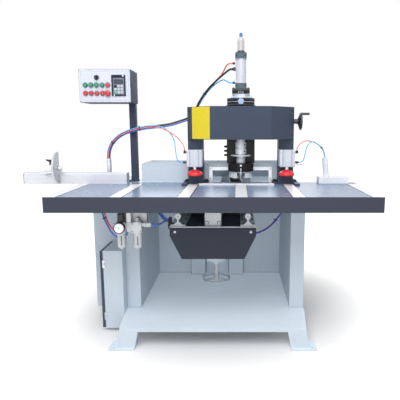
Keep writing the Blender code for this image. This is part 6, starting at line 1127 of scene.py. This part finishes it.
def air_details():
    guards, windows = [], []
    for x in BOWLS:
        guards.append((turn, (x, AIR_Y, 0.664), DOWN, (
            (0.015, -0.001), (0.0232, -0.001), (0.0232, 0.007), (0.0222, 0.0085), (0.0214, 0.0085),
            (0.015, -0.001),
        ), 32))
        guards += [
            (bar, x, 0.66, 0.0232, math.tau * (i + 0.5) / 12, (0.001, 0.0016, 0.0034), 0.0004)
            for i in range(12)
        ]
        guards.append((turn, (x, AIR_Y, 0.5802), DOWN, (
            (0.006, -0.002), (0.006, 0.004), (0.0045, 0.0055), (0, 0.0055),
        ), 20))
        windows += [
            (bar, x, 0.623, 0.0203, math.tau * i / 4 + math.radians(-90 + 8),
             (0.0011, 0.0036, 0.024), 0.001)
            for i in range(4)
        ]
    make("bowl_guards", "guard", "aluminium", *guards)
    make("bowl_windows", plastic("bowl_glass", "5f6a70", 0.12), "clear_plastic", *windows)
    make(
        "air_fittings", "guard", "aluminium",
        (turn, (-0.6128, AIR_Y, AIR_Z), (-1, 0, 0), (
            (0, 0), (0.012, 0), (0.012, 0.006), (0.01, 0.0075), (0.0085, 0.0075), (0.0085, 0.014),
            (0.006, 0.015), (0, 0.015),
        ), 24, (1, 2)),
        (turn, (-0.471, AIR_Y, AIR_Z), (1, 0, 0), (
            (0.0125, 0), (0.0148, 0), (0.0148, 0.008), (0.0125, 0.0095), (0.0125, 0),
        ), 24, (1, 2, 3)),
        (turn, (BOWLS[1], 0.086, 0.714), UP, (
            (0.018, -0.001), (0.018, 0.004), (0.013, 0.006), (0.013, 0.012), (0.01, 0.015),
            (0.01, 0.021), (0.0085, 0.0225), (0, 0.0225),
        ), 28, (2, 3)),
    )
    screws("air_screws", "black", "black_metal", SOCKET_HEAD, (0.0026, 0.0016), AHEAD,
           [(BOWLS[1] + x, 0.066, z) for x in (-0.0175, 0.0175) for z in (0.67, 0.708)])
    make("air_collets", "ring", "black_plastic", *[
        (collet, seat, axis, 0.0041, 0.0078, 0.0066, 0.0005, 0.0028, 0.0046) for seat, axis in (
            ((-0.588, 0.122, SUPPLY_SEAT), DOWN), ((-0.566, 0.122, SUPPLY_SEAT), DOWN),
            ((-0.442, AIR_Y, AIR_Z), (1, 0, 0)),
        )
    ])


def knee_details():
    middle, rail = -0.141, 0.1745
    screws("knee_bright_screws", "bright", "bright_steel", PAN_HEAD, (0.0068, 0.0046), AHEAD,
           [(middle + side * 0.189, 0.1102, 0.658) for side in SIDES], "knee")
    bolts = [(middle + across * 0.029, 0.731 + up * 0.029) for across in SIDES for up in SIDES]
    make("feed_bolt_rings", "black", "black_metal", *[
        (turn, (x, 0.1279, z), AHEAD, (
            (0.0066, 0), (0.009, 0), (0.009, 0.001), (0.0066, 0.001), (0.0066, 0),
        ), 28) for x, z in bolts
    ], body="knee")
    screws("feed_bolt_heads", "grey", "bright_steel", SOCKET_HEAD, (0.0064, 0.0048), AHEAD,
           [(x, 0.1282, z) for x, z in bolts], "knee")
    screws("rail_screws", "black", "black_metal", SOCKET_HEAD, (0.0042, 0.004), UP, [
        (middle + side * rail + across, 0.145 + 0.112 * i, 0.6913)
        for side in SIDES for across in (-0.027, 0.027) for i in range(8)
    ], "knee")
    make("rail_ends", "guard", "bright_steel", *[
        (turn, (middle + side * rail, 0.1242, 0.734), AHEAD, (
            (0.0143, 0), (0.0138, 0.0008), (0.005, 0.0008), (0.0044, 0.0002), (0, 0.0002),
        ), 28) for side in SIDES
    ], body="knee")


def stand_details():
    screws("lid_screws", "grey", "bright_steel", PAN_HEAD, (0.004, 0.002), UP, [
        (x, y, 0.9574) for x in (-0.574, -0.36, -0.143, 0.074, 0.288) for y in (0.594, 0.894)
    ])
    make("door_lock", "grey", "bright_steel", (turn, (-0.7986, 0.585, 0.252), (-1, 0, 0), (
        (0.0145, 0), (0.0145, 0.0018), (0.0128, 0.003), (0.006, 0.003), (0.0056, 0.0012), (0, 0.0012),
    ), 32), (slab, (-0.8018, 0.5835, 0.2468), (-0.7996, 0.5865, 0.2572), 0.0004), body="door")
    make("housing_louvres", painted("louvre_finish", STAND), "stand_paint", *[
        (slab, (*low, z), (*high, z + 0.0095), 0.0014)
        for z in [0.56 + 0.026 * i for i in range(7)] for low, high in (
            ((-0.9012, 0.72), (-0.8982, 0.9)), ((-0.86, 1.0482), (-0.71, 1.0512)),
        )
    ])
    heights = (0.085, 0.44, 0.805)
    make("housing_screws", "grey", "bright_steel", *[
        (screw, PAN_HEAD, (-0.9003, y, z), (-1, 0, 0), 0.0044, 0.002)
        for y in (0.648, 1.03) for z in heights
    ], *[
        (screw, PAN_HEAD, (x, 1.05, z), BEHIND, 0.0044, 0.002)
        for x in (-0.88, -0.692) for z in heights
    ])
    screws("rear_wall_screws", "grey", "bright_steel", PAN_HEAD, (0.0044, 0.002), BEHIND,
           [(x, 1.14, z) for x in (-0.56, 0.26) for z in (0.18, 0.48, 0.78)])
    make("crank_nut", "bright", "bright_steel", (
        turn, (0.3428, 0.5213, 1.205), (1, 0, 0),
        ((0.0085, -0.001), (0.0085, 0.003), (0.0072, 0.0042), (0, 0.0042)), 24, (0, 1),
    ), body="traverse_wheel")
    make("lift_wheel_nut", "bright", "bright_steel", (
        turn, (LIFT_X, LIFT_Y, 0.2352), DOWN,
        ((0.01, -0.001), (0.01, 0.0045), (0.0086, 0.0058), (0, 0.0058)), 24, (0, 1),
    ), body="lift_wheel")


gantry_details()
clamp_details()
head_details()
panel_details()
button_details()
stop_details()
gauge_details()
air_details()
knee_details()
stand_details()


# Floor, world and lamps
FLOOR_HALF, FLOOR_Z = 40, -0.0005
FLOOR_WHITE = 0.82
floor_mesh = bpy.data.meshes.new("floor")
floor_mesh.from_pydata([
    (x * FLOOR_HALF, y * FLOOR_HALF, FLOOR_Z) for x, y in ((-1, -1), (1, -1), (1, 1), (-1, 1))
], [], [(0, 1, 2, 3)])
floor = bpy.data.objects.new("floor", floor_mesh)
scene.collection.objects.link(floor)
floor_finish = bpy.data.materials.new("floor")
graph = Graph(floor_finish)
graph.tree.nodes.clear()
away = graph.vector("DISTANCE", graph.node("NewGeometry").outputs["Position"], (0.14, 0.25, 0.0))
level = graph.ramp(away, 0.50, 1.5, (0.0, FLOOR_WHITE), interpolation_type="SMOOTHSTEP")
strength = graph.math("MULTIPLY", graph.rays("Camera", "Glossy"), level)
diffuse = graph.node("BsdfDiffuse", {"Color": (FLOOR_WHITE, FLOOR_WHITE, FLOOR_WHITE, 1)})
glow = graph.node("Emission", {"Strength": strength})
both = graph.node("AddShader", {0: diffuse.outputs[0], 1: glow.outputs[0]})
graph.node("OutputMaterial", {"Surface": both.outputs[0]})
floor_mesh.materials.append(floor_finish)

scene.world = bpy.data.worlds.new("studio")
graph = Graph(scene.world)
graph.tree.nodes.clear()
level = graph.ramp(graph.rays("Camera", "Glossy", "Transmission"), 0.0, 1.0, (0.32, 1.0))
background = graph.node("Background", {"Color": (1, 1, 1, 1), "Strength": level})
graph.node("OutputWorld", {"Surface": background.outputs[0]})


def lamp(name, location, target, size, energy):
    """A soft light that looks at a target."""
    light = bpy.data.lights.new(name, "AREA")
    light.shape = "RECTANGLE"
    light.size, light.size_y = size
    light.energy = energy
    item = bpy.data.objects.new(name, light)
    item.location = location
    aim = Vector(target) - Vector(location)
    item.rotation_euler = aim.to_track_quat("-Z", "Y").to_euler()
    scene.collection.objects.link(item)
    return item


lamp("key", (-0.3, -3.5, 3.8), (0.0, -0.2, 0.5), (3.4, 2.4), 142)
lamp("low_front", (0.2, -5.0, 1.2), (0.0, 0.0, 0.4), (3.6, 1.6), 42)
lamp("overhead", (0.0, -1.0, 4.4), (0.0, 0.0, 0.8), (3.4, 2.8), 40)
lamp("left_side", (-4.2, -0.9, 2.2), (0.0, 0.0, 0.6), (2.4, 2.0), 16)
lamp("right_side", (4.2, -0.9, 2.2), (0.0, 0.0, 0.6), (2.4, 2.0), 16)
lamp("rear", (0.0, 4.2, 3.0), (0.0, 0.0, 0.8), (3.2, 2.2), 60)

# A soft light for the deck and the rear wall alone, which the table's overhang would shade
lit = bpy.data.collections.new("lit_from_above")
for node in ("base_frame", "rear_wall"):
    lit.objects.link(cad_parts[node])
shades = bpy.data.collections.new("shades_from_above")
shades.objects.link(floor)
fill = lamp("deck_fill", (0.15, -0.50, 3.4), (0.15, -0.20, 0.2), (2.0, 1.6), 56)
fill.light_linking.receiver_collection = lit
fill.light_linking.blocker_collection = shades
